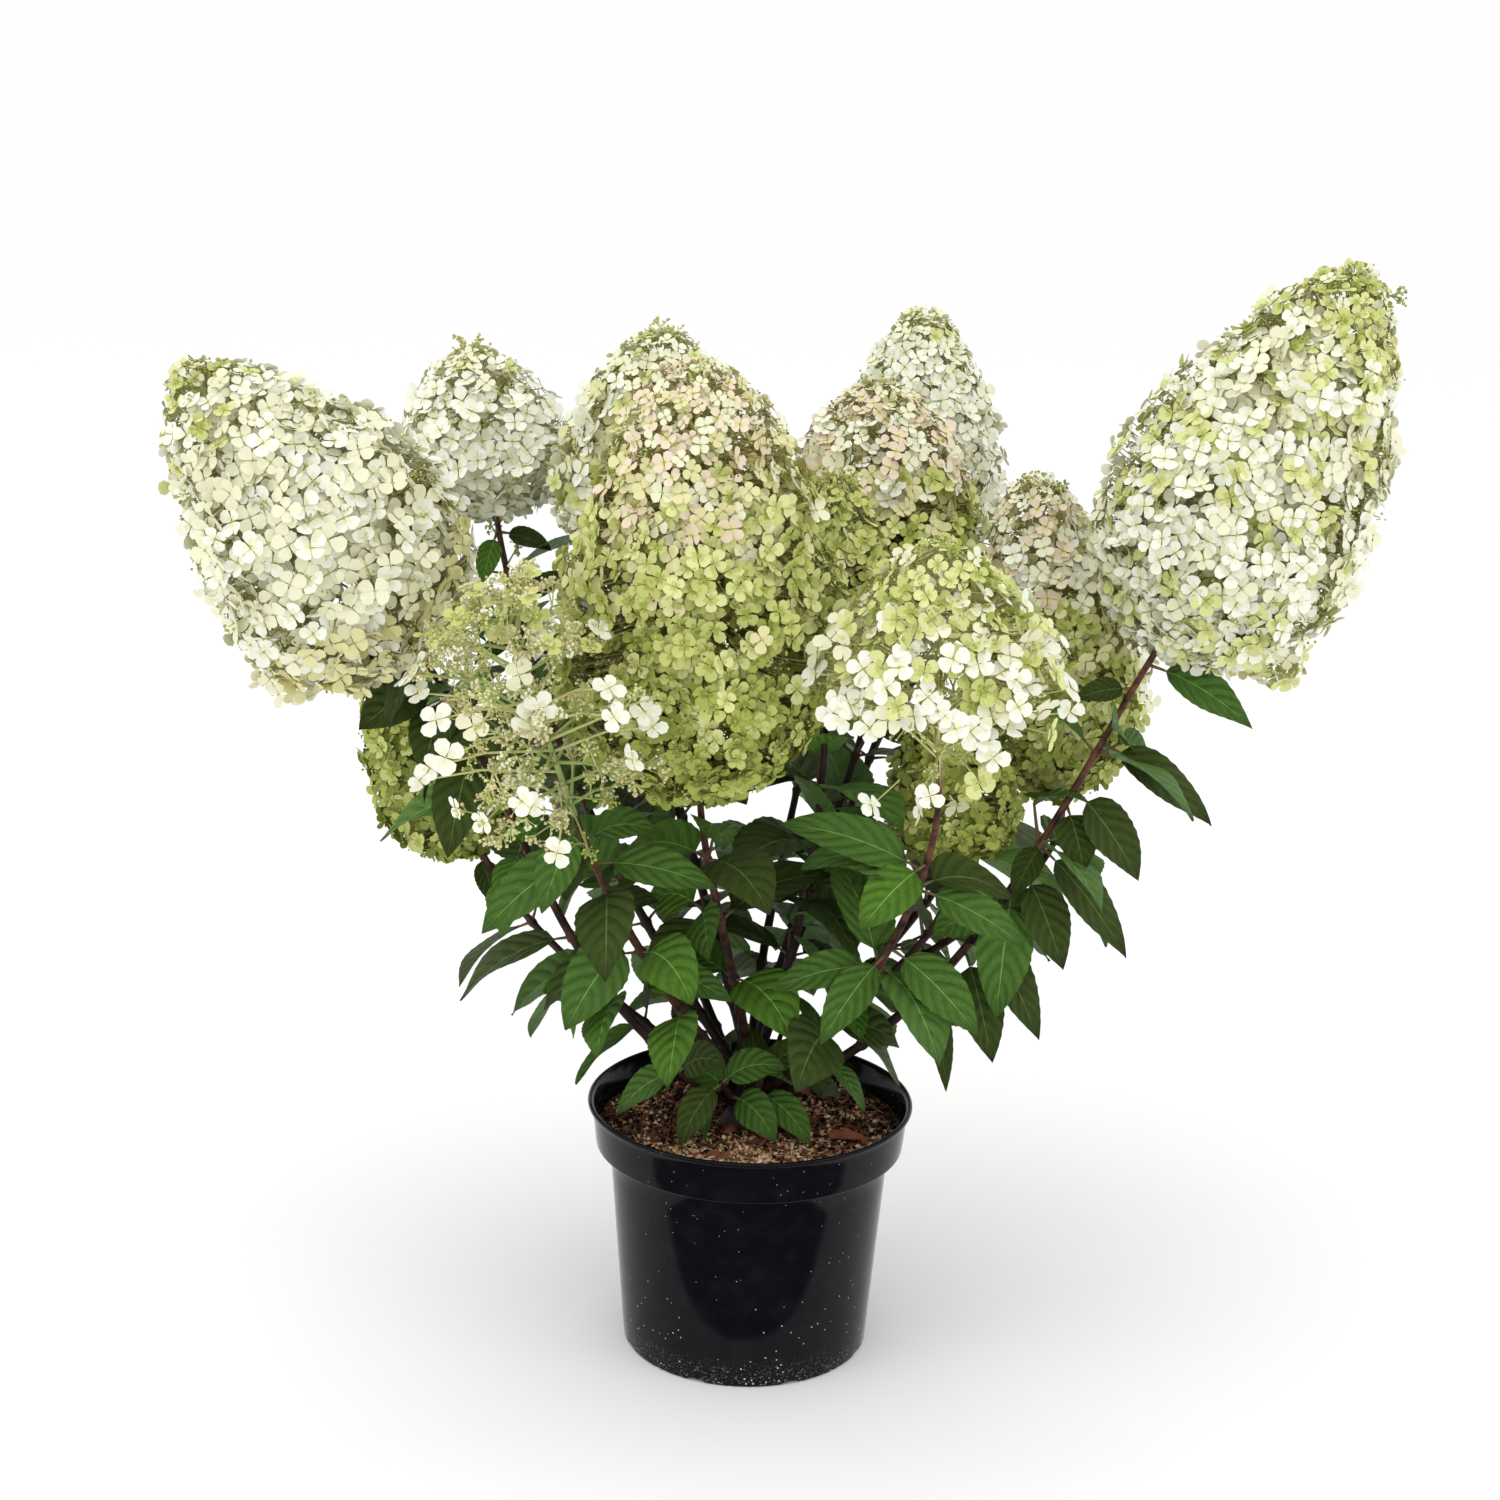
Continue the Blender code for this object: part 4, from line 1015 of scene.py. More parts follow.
def leaf_mesh(leaf, width_share):
    """A serrated leaf with a folded, quilted upper side, a pale underside and a stalk."""
    width_share = width_share * leaf.slim
    rows = np.arange(LEAF_ROWS + 1) / LEAF_ROWS
    shares = STALK_SHARE + (1.0 - STALK_SHARE) * rows
    places, headings, normals = leaf_spine(
        leaf.root, leaf.aim, leaf.top, leaf.length, leaf.droop, np.concatenate([[0.05, 0.09], shares]))
    stalk = np.concatenate([[leaf.root], places[:3]])
    places, headings, normals = places[2:], headings[2:], normals[2:]
    sides = np.cross(headings, normals)
    columns = np.linspace(-1.0, 1.0, 2 * LEAF_HALF_COLUMNS + 1)
    half = 0.5 * width_share * leaf.length
    width = blade_width(rows)[:, None] * half
    across = columns[None, :] * width
    teeth = np.where(np.arange(LEAF_ROWS + 1) % 2 == 1, TOOTH_SIZE, 0.0)[:, None]
    edge = (np.abs(columns) == 1.0)[None, :]
    across = across * (1.0 + teeth * edge)
    fold = LEAF_FOLD * np.abs(across) * (1.0 - 0.25 * np.abs(columns))[None, :]
    wave = LEAF_WAVE * half * np.sin(math.tau * 1.4 * rows + leaf.wave)[:, None] * columns[None, :] ** 2
    wave = wave * np.sign(columns)[None, :] ** leaf.tone
    vein_at = (rows[:, None] - VEIN_SWEEP * np.abs(columns)[None, :] ** 1.2) * VEIN_PAIRS
    quilt = VEIN_DEPTH * leaf.length * (np.abs(np.sin(math.pi * vein_at)) - 0.5)
    quilt = quilt * (np.abs(columns) < 1.0)[None, :] * np.minimum(1.0, width / half * 1.4)
    quilt[:, LEAF_HALF_COLUMNS] = -0.35 * VEIN_DEPTH * leaf.length
    height = fold + wave + 0.55 * quilt
    upper = (places[:, None] + sides[:, None] * across[:, :, None] + normals[:, None] * height[:, :, None])
    lower = upper - normals[:, None] * (LEAF_THICKNESS * (1.0 - 0.85 * edge[:, :, None]))
    count = 2 * LEAF_HALF_COLUMNS + 1
    grid = np.arange((LEAF_ROWS + 1) * count).reshape(LEAF_ROWS + 1, count)
    a, b = grid[:-1, :-1].ravel(), grid[:-1, 1:].ravel()
    c, d = grid[1:, 1:].ravel(), grid[1:, :-1].ravel()
    left = (np.arange(len(a)) % (count - 1)) < LEAF_HALF_COLUMNS
    one = np.where(left[:, None], np.stack([a, b, d], 1), np.stack([a, b, c], 1))
    two = np.where(left[:, None], np.stack([b, c, d], 1), np.stack([a, c, d], 1))
    faces = np.concatenate([one, two])
    under = faces[:, ::-1] + grid.size
    u = np.broadcast_to(0.04 + 0.92 * rows[:, None], grid.shape)
    v = np.broadcast_to(0.25 + 0.23 * columns[None, :], grid.shape)
    top_places = np.stack([u, v], -1).reshape(-1, 2)
    low_places_map = np.stack([u, 0.5 + v], -1).reshape(-1, 2)
    blade_points = np.concatenate([upper.reshape(-1, 3), lower.reshape(-1, 3)])
    blade = (blade_points, np.concatenate([faces, under]), np.concatenate([top_places, low_places_map]))
    stalk_points, stalk_faces = sweep(stalk, np.linspace(1.5, 1.0, len(stalk)) * MM, 5)
    stalk_map = np.tile((0.02, 0.25), (len(stalk_points), 1))
    return blade, (stalk_points, stalk_faces, stalk_map)


def inside_panicle(points, margin=0.94):
    """Whether any of the points lies inside a flower head."""
    points = np.asarray(points)
    for shoot in SHOOTS:
        if shoot.airy:
            continue
        axis = panicle_heading(shoot)
        away = points - panicle_foot(shoot)
        t = away @ axis / shoot.length
        apart = np.linalg.norm(away - np.outer(away @ axis, axis), axis=1)
        if np.any((t > 0.0) & (t < 1.0) & (apart < margin * shoot.radius * envelope(t))):
            return True
    return False


def over_edge(points):
    """Whether any of the points lies inside the pot's wall or under the soil."""
    apart = np.linalg.norm(points[:, :2], axis=1)
    low = points[:, 2] < SOIL_TOP + 1 * MM
    wall = (points[:, 2] < POT_HEIGHT + 2 * MM) & (np.abs(apart - LIP_RADIUS) < 8 * MM)
    return bool(np.any(low & (apart < LIP_RADIUS)) or np.any(wall))


# The canes whose leaves are shaded and old, and how the three greens are dealt out, 0 the deepest
BACK_SHOOTS = ("back_left", "behind_centre", "centre_right", "back_right", "mid_right", "low_left")
# The back canes get mostly the deepest green, partly for their old leaves and partly as painted shade
SHADED_BACK_TONES = (0, 0, 0, 1)
FRONT_TONES = (0, 0, 1, 1, 1, 2)

# Small pairs of leaves close below some heads: their shares of the cane's length and their size
SMALL_PAIRS = {
    "back_left": ((0.62, 0.72), 0.52),
    "far_left": ((0.80, 0.90, 0.97), 0.66),
    "front_left": ((0.72, 0.90), 0.60),
}

# Leaves near the soil are smaller: below the first level by this share, and full size from the second
SMALL_LEAF_LEVELS = (0.23, 0.36)
SMALL_LEAF_SHARE = 0.70


def grow_pairs(course, places, scale, rng, trees, settings, tones, slims=(0.9, 1.08), hang=1.0):
    """Pairs of leaves at the given distances along a stem, each where there is room for it."""
    leaves = []
    first_turn = rng.uniform(0, 90)
    for k, far in enumerate(places):
        (root,), (along,) = course.at(far)
        side, other = square_to(along)
        for half in range(2):
            base_turn = first_turn + 90 * k + 180 * half + rng.uniform(-LEAF_TWIST, LEAF_TWIST)
            length = scale * settings.length * rng.uniform(*LEAF_LENGTHS)
            length *= np.interp(root[2], SMALL_LEAF_LEVELS, (SMALL_LEAF_SHARE, 1.0))
            droop = settings.droop * hang * rng.uniform(*LEAF_DROOPS)
            wave, tone = rng.uniform(0, math.tau), rng.choice(tones)
            for extra in LEAF_TURNS:
                turn = math.radians(base_turn + extra)
                out = side * math.cos(turn) + other * math.sin(turn)
                aim = along * math.cos(settings.spread) + out * math.sin(settings.spread)
                start = root + out * ROOT_OFFSET
                points, faces = coarse_leaf(start, aim, along, length, droop, settings.width_share)
                if over_edge(points[3:]) or inside_panicle(points[3:]):
                    continue
                tree = BVHTree.FromPolygons([tuple(p) for p in points], faces)
                if any(tree.overlap(old) for old in trees):
                    continue
                trees.append(tree)
                leaves.append(Leaf(start, aim, along, length, droop, wave, tone, rng.uniform(*slims)))
                break
    return leaves


LONE_SEED = 500
LONE_DROOP = 0.55


def lone_leaves(trees):
    """The leaves listed one by one, each from its cane towards the place where its tip shows."""
    leaves = []
    canes = {shoot.name: cane_course(shoot) for shoot in SHOOTS}
    for number, lone in enumerate(LONE_LEAVES):
        rng = random.Random(LONE_SEED + number)
        course = canes[lone.shoot]
        (root,), (along,) = course.at(lone.share * course.length)
        tip = np.array(CAMERA_PLACE) + sight_line(lone.photo_x, lone.photo_y) * (depth_of(root) - lone.ahead)
        out = unit(tip - root)
        length = 1.03 * float(np.linalg.norm(tip - root))
        aim = unit(out + 0.5 * LONE_DROOP * UP)
        top = unit(0.5 * UP - 0.75 * unit(sight_line(lone.photo_x, lone.photo_y)) + 0.25 * along)
        start = root + unit(out - along * np.dot(out, along)) * (ROOT_OFFSET + 2 * MM)
        points, faces = coarse_leaf(start, aim, top, length, LONE_DROOP, 0.5)
        trees.append(BVHTree.FromPolygons([tuple(p) for p in points], faces))
        wave = rng.uniform(0, math.tau)
        leaves.append(Leaf(start, aim, top, length, LONE_DROOP, wave, lone.green, lone.slim))
    return leaves


AXIL_SHARE = 0.5
AXIL_LEAF_SHARE = 0.58


def axil_twigs(course, places, rng):
    """Short twigs in the axils of some nodes, that carry the finer leaves."""
    twigs = []
    for far in places:
        if rng.random() > AXIL_SHARE:
            continue
        (root,), (along,) = course.at(far)
        side, other = square_to(along)
        turn = math.radians(rng.uniform(0, 360))
        out = side * math.cos(turn) + other * math.sin(turn)
        reach = rng.uniform(18, 34) * MM
        aim = unit(along * 0.75 + out * 0.65)
        middle = root + aim * 0.5 * reach
        twigs.append(Course([root, middle, middle + unit(aim + 0.25 * UP) * 0.5 * reach]))
    return twigs


def leaf_material(name, colour):
    """A leaf: pale midrib and side veins on a quilted blade, and a paler underside.

    The middles of the quilted panels are painted lighter as painted highlight, and the fine net of veins is
    pale partly as painted highlight.
    """
    material = new_material(name, colour, 0.50, 0.22)
    nodes = Nodes(material)
    split = nodes.add("ShaderNodeSeparateXYZ", {0: nodes.add("ShaderNodeUVMap", uv_map=LEAF_MAP).outputs[0]})
    u, v = split.outputs[0], split.outputs[1]
    under = nodes.maths("GREATER_THAN", v, 0.5)
    across = nodes.maths("SUBTRACT", nodes.maths("SUBTRACT", v, nodes.times(under, 0.5)), 0.25)
    apart = nodes.times(nodes.maths("ABSOLUTE", across), 1.0 / 0.23)
    along = nodes.ramp(u, 0.04, 0.96)
    bend = nodes.times(nodes.maths("POWER", apart, 1.2), VEIN_SWEEP)
    at = nodes.times(nodes.maths("SUBTRACT", along, bend), VEIN_PAIRS)
    wave = nodes.maths("ABSOLUTE", nodes.maths("SINE", nodes.times(at, math.pi)))
    side_vein = nodes.add("ShaderNodeMapRange", {"Value": wave, "From Min": 0.0, "From Max": 0.15,
                                                 "To Min": 1.0, "To Max": 0.0}).outputs[0]
    side_vein = nodes.times(side_vein, nodes.ramp(apart, 1.05, 0.45))
    midrib = nodes.ramp(apart, 0.060, 0.02)
    # Fine net of pale veins, made pale partly as painted highlight on the quilting
    fine = nodes.add("ShaderNodeTexVoronoi", {"Scale": 26.0}, feature="DISTANCE_TO_EDGE")
    stretch = nodes.add("ShaderNodeCombineXYZ", {0: nodes.times(along, 2.0), 1: apart})
    nodes.feed(fine.inputs["Vector"], stretch.outputs[0])
    net_veins_and_highlight = nodes.ramp(fine.outputs[0], 0.10, 0.0)
    veins = nodes.maths("MAXIMUM", midrib, nodes.times(side_vein, 0.75))
    veins_all = nodes.maths("MAXIMUM", veins, nodes.times(net_veins_and_highlight, 0.60))
    dark = tuple(0.66 * c for c in colour)
    pale = tuple(min(1.0, 1.65 * c + 0.06) for c in colour)
    mottle = nodes.noise(7.0, 5.0, stretch.outputs[0])
    blade = nodes.mix(nodes.ramp(mottle, 0.3, 0.75), dark, tuple(colour))
    # Painted highlight: the middle of each quilted panel between the side veins is lighter
    puff_highlight = nodes.mix(nodes.times(wave, 0.35), blade, tuple(1.15 * c for c in colour))
    upper = nodes.mix(nodes.times(veins_all, 0.8), puff_highlight, pale)
    under_colour = tuple(1.25 * c + 0.028 for c in colour)
    lower = nodes.mix(nodes.times(veins, 0.7), under_colour, tuple(1.5 * c for c in under_colour))
    nodes.feed(nodes.shader.inputs["Base Color"], nodes.mix(under, upper, lower))
    sunk = nodes.maths("SUBTRACT", nodes.times(wave, 0.8), nodes.times(veins_all, 0.6))
    nodes.bump(sunk, 1.0, 3.2 * MM)
    return material


def build_leaves(context):
    settings = context.scene.hydrangea_leaves
    tones = {"deep": settings.deep, "middle": settings.middle, "fresh": settings.fresh}
    heaps = {tone: Heap() for tone in range(3)}
    stalks, twig_heap = Heap(), Heap()
    trees = []
    leaves = lone_leaves(trees)
    for number, low in enumerate(LOW_SHOOTS):
        rng = random.Random(LOW_LEAF_SEED + number)
        course = low_course(low)
        leaves += grow_pairs(course, low_places(low, course), LOW_LEAF_SHARE, rng, trees, settings,
                             (0, 1, 1), (0.74, 0.9))
    for number, shoot in enumerate(SHOOTS):
        rng = random.Random(LEAF_SEED + number)
        course = cane_course(shoot)
        places = node_places(shoot, course, settings.spacing)
        tones_here = SHADED_BACK_TONES if shoot.name in BACK_SHOOTS else FRONT_TONES
        leaves += grow_pairs(course, places, 1.0, rng, trees, settings, tones_here)
        if shoot.name in SMALL_PAIRS:
            shares, size = SMALL_PAIRS[shoot.name]
            leaves += grow_pairs(course, course.length * np.array(shares), size, rng, trees, settings,
                                 (0, 0, 1), hang=1.7)
        for twig in axil_twigs(course, places, rng):
            more = grow_pairs(twig, [twig.length * 0.97], AXIL_LEAF_SHARE, rng, trees, settings, (1, 2))
            if more:
                leaves += more
                twig_heap.add(*sweep(twig.at(np.linspace(0, twig.length, 5))[0],
                                     np.linspace(1.7, 1.1, 5) * MM, 6))
    for leaf in leaves:
        blade, stalk = leaf_mesh(leaf, settings.width_share)
        heaps[leaf.tone].add(blade[0], blade[1], 0, blade[2])
        stalks.add(stalk[0], stalk[1], 0)
    masses = ["leaves_" + shoot.name for shoot in SHOOTS + LOW_SHOOTS]
    for tone, (name, colour) in enumerate(tones.items()):
        material = leaf_material("leaf_" + name, tuple(colour))
        obj = heaps[tone].build("leaves_" + name, [material], slot_name="leaves")
        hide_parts(*masses)
    stalk_material = new_material("leaf_stalk", (0.13, 0.10, 0.035), 0.5)
    stalks.build("leaf_stalks", [stalk_material], slot_name="leaves")
    twig_heap.build("axil_twigs", [new_material("young_twig", (0.12, 0.075, 0.03), 0.5)], slot_name="bark")


# Flower heads

def envelope(t):
    """A panicle's radius at a share of its length, as a share of its greatest radius."""
    t = np.clip(t, 0.0, 1.0)
    return np.sin(np.pi * t**WIDEST_POWER) ** BLUNTNESS


def form_of(shoot):
    return FORMS.get(shoot.name, PLAIN_FORM)


def head_radius(shoot, t):
    """A head's radius at a share of its length, with its own width and bluntness."""
    form = form_of(shoot)
    t = np.clip(t, 0.0, 1.0)
    power = np.where(t > WIDEST_AT, form.blunt, BLUNTNESS)
    return np.maximum(np.sin(np.pi * t**WIDEST_POWER), 0.0) ** power * shoot.radius * form.width


def head_slope(shoot, t):
    step = 0.5 / SKIN_STEPS
    return (head_radius(shoot, t + step) - head_radius(shoot, t - step)) / (2 * step * shoot.length)


def skin_area(shoot):
    return math.tau * shoot.radius * shoot.length * SKIN_SHARE * form_of(shoot).width


def skin_places(shoot, count):
    """Shares of the length and turns that spread points evenly over a panicle's skin."""
    t = (np.arange(SKIN_STEPS) + 0.5) / SKIN_STEPS
    area = np.concatenate([[0.0], np.cumsum(head_radius(shoot, t) * np.hypot(1.0, head_slope(shoot, t)))])
    wanted = area[-1] * (np.arange(count) + 0.5) / count
    return np.interp(wanted, area, np.arange(SKIN_STEPS + 1) / SKIN_STEPS), np.arange(count) * GOLDEN_ANGLE


def axis_points(shoot, t):
    t = np.atleast_1d(t)
    bend = np.outer(t**2 * form_of(shoot).aside, FORWARD)
    return panicle_foot(shoot) + np.outer(t * shoot.length, panicle_heading(shoot)) + bend


def skin_points(shoot, t, turns, share):
    """Points at a share of the way out to the panicle's skin, and the way the skin faces there."""
    axis = panicle_heading(shoot)
    side, other = square_to(axis)
    out = np.outer(np.cos(turns), side) + np.outer(np.sin(turns), other)
    facing = unit(out - axis * head_slope(shoot, t)[:, None])
    t = t * form_of(shoot).end
    radius = head_radius(shoot, t / form_of(shoot).end) * share
    return axis_points(shoot, t) + out * radius[:, None], facing


SEPAL_OUTLINE = ((0.04, 0.0), (0.27, -0.25), (0.60, -0.46), (0.90, -0.34), (1.0, 0.0),
                 (0.90, 0.34), (0.60, 0.46), (0.27, 0.25))


def sepal(width, cup, curl):
    """One rounded petal along +X: points and faces, fanned out from its middle."""
    outline = np.array(SEPAL_OUTLINE) * (1.0, width)
    points = np.concatenate([[(0.56, 0.0)], outline])
    points = np.column_stack([points, cup * points[:, 0] ** 2 + curl * np.abs(points[:, 1]) ** 1.5])
    points[0, 2] -= 0.04
    corners = np.arange(len(outline))
    faces = np.stack([np.zeros(len(corners), int), 1 + corners, 1 + (corners + 1) % len(corners)], 1)
    return points, faces


def floret_shape(rng):
    """An open floret of four petals, and the faces at its heart, which take the painted shade. Its reach is
    1.
    """
    points, faces, heart, count, done = [], [], [], 0, 0
    for k in range(4):
        large = 1.0 if k % 2 == 0 else rng.uniform(0.80, 1.0)
        petal, petal_faces = sepal(rng.uniform(0.92, 1.08), rng.uniform(-0.05, 0.34), rng.uniform(-0.35, 0.3))
        petal = petal * large
        petal[:, 2] += 0.03 if k % 2 == 0 else -0.03
        turn = math.radians(90 * k + rng.uniform(-9, 9))
        c, s = math.cos(turn), math.sin(turn)
        tilt = rng.uniform(-0.18, 0.18)
        turned = np.stack([petal[:, 0] * c - petal[:, 1] * s, petal[:, 0] * s + petal[:, 1] * c,
                           petal[:, 2] + tilt * petal[:, 0]], 1)
        points.append(turned)
        faces.append(petal_faces + count)
        # The two faces at each petal's base, which take the darker tint as painted shade
        heart += [done, done + len(petal_faces) - 1]
        count += len(turned)
        done += len(petal_faces)
    return np.concatenate(points), np.concatenate(faces), heart


FLORET_KINDS = 9
STRAY_SHARE = 0.05
PAINTED_SHADE_NUMBERS = np.array([NUMBER[PAINTED_SHADE_TINTS.get(name, name)] for name in TINTS])
PANICLE_SEED = 40
OUTER_TILT = 0.34
INNER_TILT = 0.5
OPEN_BRANCHES = 34
AIRY_FLORETS = 26
AIRY_TIERS = 9
BEAD = bead(1, 4)
SMALL_BEAD = bead(1, 3)
HEART = (BEAD[0][1:], np.array([(3, 0, 4), (0, 1, 4), (1, 2, 4), (2, 3, 4)]))
PANICLE_GROUPS = {
    "left": ("far_left", "back_left", "low_left", "front_left"),
    "middle": ("centre", "behind_centre", "centre_right"),
    "right": ("mid_right", "back_right", "right", "front_right", "low_right"),
    "far": ("far_right", "rear_left", "rear", "rear_right"),
}


class Bunch:
    """The florets, buds and stalks of a group of flower heads, each kind in a heap of its own."""

    def __init__(self, settings, shapes):
        self.settings, self.shapes = settings, shapes
        self.florets, self.buds, self.stalks = Heap(), Heap(), Heap()

    def stalk(self, starts, ends, foot_radius, tip_radius, tint, sides=3):
        """Adds straight stalks, with the name of their one tint or with a number for each."""
        tint = NUMBER[tint] if isinstance(tint, str) else tint
        self.stalks.add_sticks(starts, ends, foot_radius, tip_radius, tint, sides)

    def stem(self, points, radii, tint, sides=5):
        """Adds a bent stem that tapers along its path."""
        self.stalks.add(*sweep(points, radii * MM, sides), NUMBER[tint])

    def open_florets(self, kinds, centres, frames, tints):
        """Adds florets of the given kinds, each with a darker tint at its heart, painted shade where its
        petals overlap.
        """
        self.florets.scatter_kinds(self.shapes, kinds, centres, frames, tints, PAINTED_SHADE_NUMBERS[tints])

    def spray(self, start, way, length, count, tint_names, rng, stalk_tint="stalk_pale"):
        """Adds a sprig that forks into fine stalks with a closed bud at the end of each."""
        end = start + way * length
        self.stalk([start], [end], 0.9 * MM, 0.6 * MM, stalk_tint, 5)
        shares = rng.uniform(0.55, 1.0, (count, 1))
        roots = start + (end - start) * shares
        aims = unit(way * 0.9 + rng.normal(0, 0.62, (count, 3)))
        heads = roots + aims * rng.uniform(4, 10, (count, 1)) * MM
        self.stalk(roots, heads, 0.45 * MM, 0.35 * MM, stalk_tint)
        for _ in range(2):
            places = heads + rng.normal(0, 1.1 * MM, heads.shape)
            sizes = self.settings.bud * rng.uniform(0.7, 1.15, count)
            self.buds.scatter(BEAD, places, turned_frames(aims, rng.uniform(0, 6, count), sizes),
                              rng.choice(numbers_of(tint_names), count))


def numbers_of(names):
    return [NUMBER[name] for name in names]


def deal(look, t, rng, in_shade=False):
    """A tint for each share of the length, from the bands of a flower head's look; the darker tints are
    painted shade.
    """
    tints = np.zeros(len(t), int)
    wobble = t + rng.normal(0.0, 0.045, len(t))
    low = -np.inf
    for k, band in enumerate(look.bands):
        end = band.end if k < len(look.bands) - 1 else np.inf
        here = (wobble > low) & (wobble <= end)
        numbers = np.array(numbers_of(band.tints))
        tints[here] = numbers[rng.integers(0, len(numbers), here.sum())]
        low = end
    return PAINTED_SHADE_NUMBERS[tints] if in_shade else tints


def lumps(shoot, t, turns, seed):
    """Bumps and hollows of a flower head, from -1 to 1."""
    points = np.stack([np.cos(turns), np.sin(turns), t * shoot.length / shoot.radius * 1.3], 1)
    return np.clip(rough(points, 0.42, seed) * 2.0 - 0.15, -1.0, 1.0)


def hollows(shoot, t, turns, number):
    """Where florets are missing: a number from 0 to 1, highest in the hollows."""
    points = np.stack([np.cos(turns), np.sin(turns), t * shoot.length / shoot.radius], 1)
    field = rough(points, 0.30, 50.0 + number)
    return 0.5 + 0.5 * np.tanh(2.4 * field) - 0.5 * (t > 0.88)


def bare_stalks(shoot, t, turns, rng, bunch):
    """Bare stalks with closed buds, where a hollow shows the inside of the head."""
    each = 4
    t = np.repeat(t, each) + rng.normal(0, 0.012, len(t) * each)
    turns = np.repeat(turns, each) + rng.normal(0, 0.10, len(t))
    ends, facing = skin_points(shoot, np.clip(t, 0.02, 0.98), turns, rng.uniform(0.76, 0.93, len(t)))
    roots = axis_points(shoot, np.clip(t - 0.05, 0.02, 0.9))
    starts = ends + (roots - ends) * rng.uniform(0.3, 0.5, (len(t), 1))
    tints = rng.choice(numbers_of(("stalk_pale", "stalk_olive", "stalk_olive")), len(t))
    bunch.stalk(starts, ends, 0.85 * MM, 0.5 * MM, tints)
    sizes = bunch.settings.bud * rng.uniform(0.7, 1.1, len(t))
    bunch.buds.scatter(BEAD, ends, turned_frames(facing, turns, sizes),
                       rng.choice(numbers_of(("bud_green", "cream_green")), len(t)))


def tilted(facings, amount, rng):
    return unit(facings + rng.normal(0.0, amount, facings.shape))


def dense_head(shoot, number, bunch):
    """One full flower head: two layers of florets, the buds between them and the stalks within."""
    rng = np.random.default_rng(PANICLE_SEED + number)
    settings, look, foot = bunch.settings, LOOKS[shoot.name], form_of(shoot).foot
    reach = 0.5 * settings.floret * look.size
    count = round(skin_area(shoot) / (settings.floret_room * look.size**2))
    t, turns = skin_places(shoot, count)
    bump = lumps(shoot, t, turns, number)
    gaps = settings.gap_share * look.gaps
    bare = hollows(shoot, t, turns, number) > 1.0 - gaps
    shown = bare & (t > foot - 0.03)
    bare_stalks(shoot, t[shown], turns[shown], rng, bunch)
    kept = ~bare & ((t > foot + 0.03 * bump) | (rng.random(len(t)) < STRAY_SHARE))
    t, turns, bump = t[kept], turns[kept], bump[kept]
    t = np.clip(t + rng.normal(0, 0.006, len(t)), 0.01, 0.998)
    share = 0.935 + 0.085 * bump + rng.uniform(-0.07, 0.035, len(t))
    layers = [(t, turns, share, OUTER_TILT)]
    inner = round(count * settings.inner_share)
    t_in, turns_in = skin_places(shoot, inner)
    closed = hollows(shoot, t_in, turns_in + 1.0, number) < 1.0 - 0.7 * gaps
    closed &= t_in > 1.4 * foot
    t_in, turns_in, inner = t_in[closed], turns_in[closed], int(closed.sum())
    layers.append((t_in, turns_in + 1.0, rng.uniform(0.66, 0.84, inner), INNER_TILT))
    second = "stalk_olive" if look.buds is OLD_BUD_TINTS else "stalk_pale"
    for layer, (t, turns, share, tilt) in enumerate(layers):
        centres, facing = skin_points(shoot, t, turns, share)
        facing = tilted(facing + 0.12 * UP, tilt, rng)
        sizes = reach * rng.uniform(0.82, 1.12, len(t)) * np.interp(t, (0.0, 0.7, 1.0), (1.0, 1.0, 0.6))
        frames = turned_frames(facing, rng.uniform(0, math.tau, len(t)), sizes)
        # The inner layer takes the darker tints, painted shade inside the head
        tints = deal(look, t, rng, in_shade=layer == 1)
        bunch.open_florets(rng.integers(0, len(bunch.shapes), len(t)), centres, frames, tints)
        hearts = np.full(len(t), NUMBER["bud_green"])
        bunch.buds.scatter(HEART, centres + facing * 0.3 * MM,
                           turned_frames(facing, turns, np.full(len(t), 1.3 * MM)), hearts)
        inside = axis_points(shoot, np.clip(t - 0.05, 0.04, 0.9))
        starts = centres + (inside - centres) * rng.uniform(0.28, 0.42, (len(t), 1))
        bunch.stalk(starts, centres, 0.75 * MM, 0.5 * MM,
                    rng.choice(numbers_of(("stalk_pale", second)), len(t)))
    if foot > 0.0:
        open_foot(shoot, foot, rng, bunch)
    side_lobes(shoot, rng, bunch)
    bud_clusters(shoot, look, rng, bunch)
    tip_sprays(shoot, rng, bunch)
    branch_frame(shoot, rng, bunch)


def open_foot(shoot, foot, rng, bunch):
    """Forked branches that rise from the bare foot of a head to the rim of its florets."""
    turns = np.arange(OPEN_BRANCHES) * GOLDEN_ANGLE
    t = foot + rng.uniform(-0.04, 0.12, OPEN_BRANCHES)
    ends, _ = skin_points(shoot, t, turns, rng.uniform(0.62, 0.9, OPEN_BRANCHES))
    roots = axis_points(shoot, np.maximum(t - rng.uniform(0.24, 0.40, OPEN_BRANCHES), 0.03))
    bunch.stalk(roots, ends, 1.1 * MM, 0.7 * MM, "stalk_pale", 5)
    for share in (0.62, 0.84):
        for k in range(0, OPEN_BRANCHES, 2):
            fork = between(roots[k], ends[k], share)
            way = unit(unit(ends[k] - roots[k]) + rng.normal(0, 0.6, 3))
            bunch.spray(fork, way, rng.uniform(8, 15) * MM, 5, ("bud_green", "cream_green", "pale_lime"), rng)


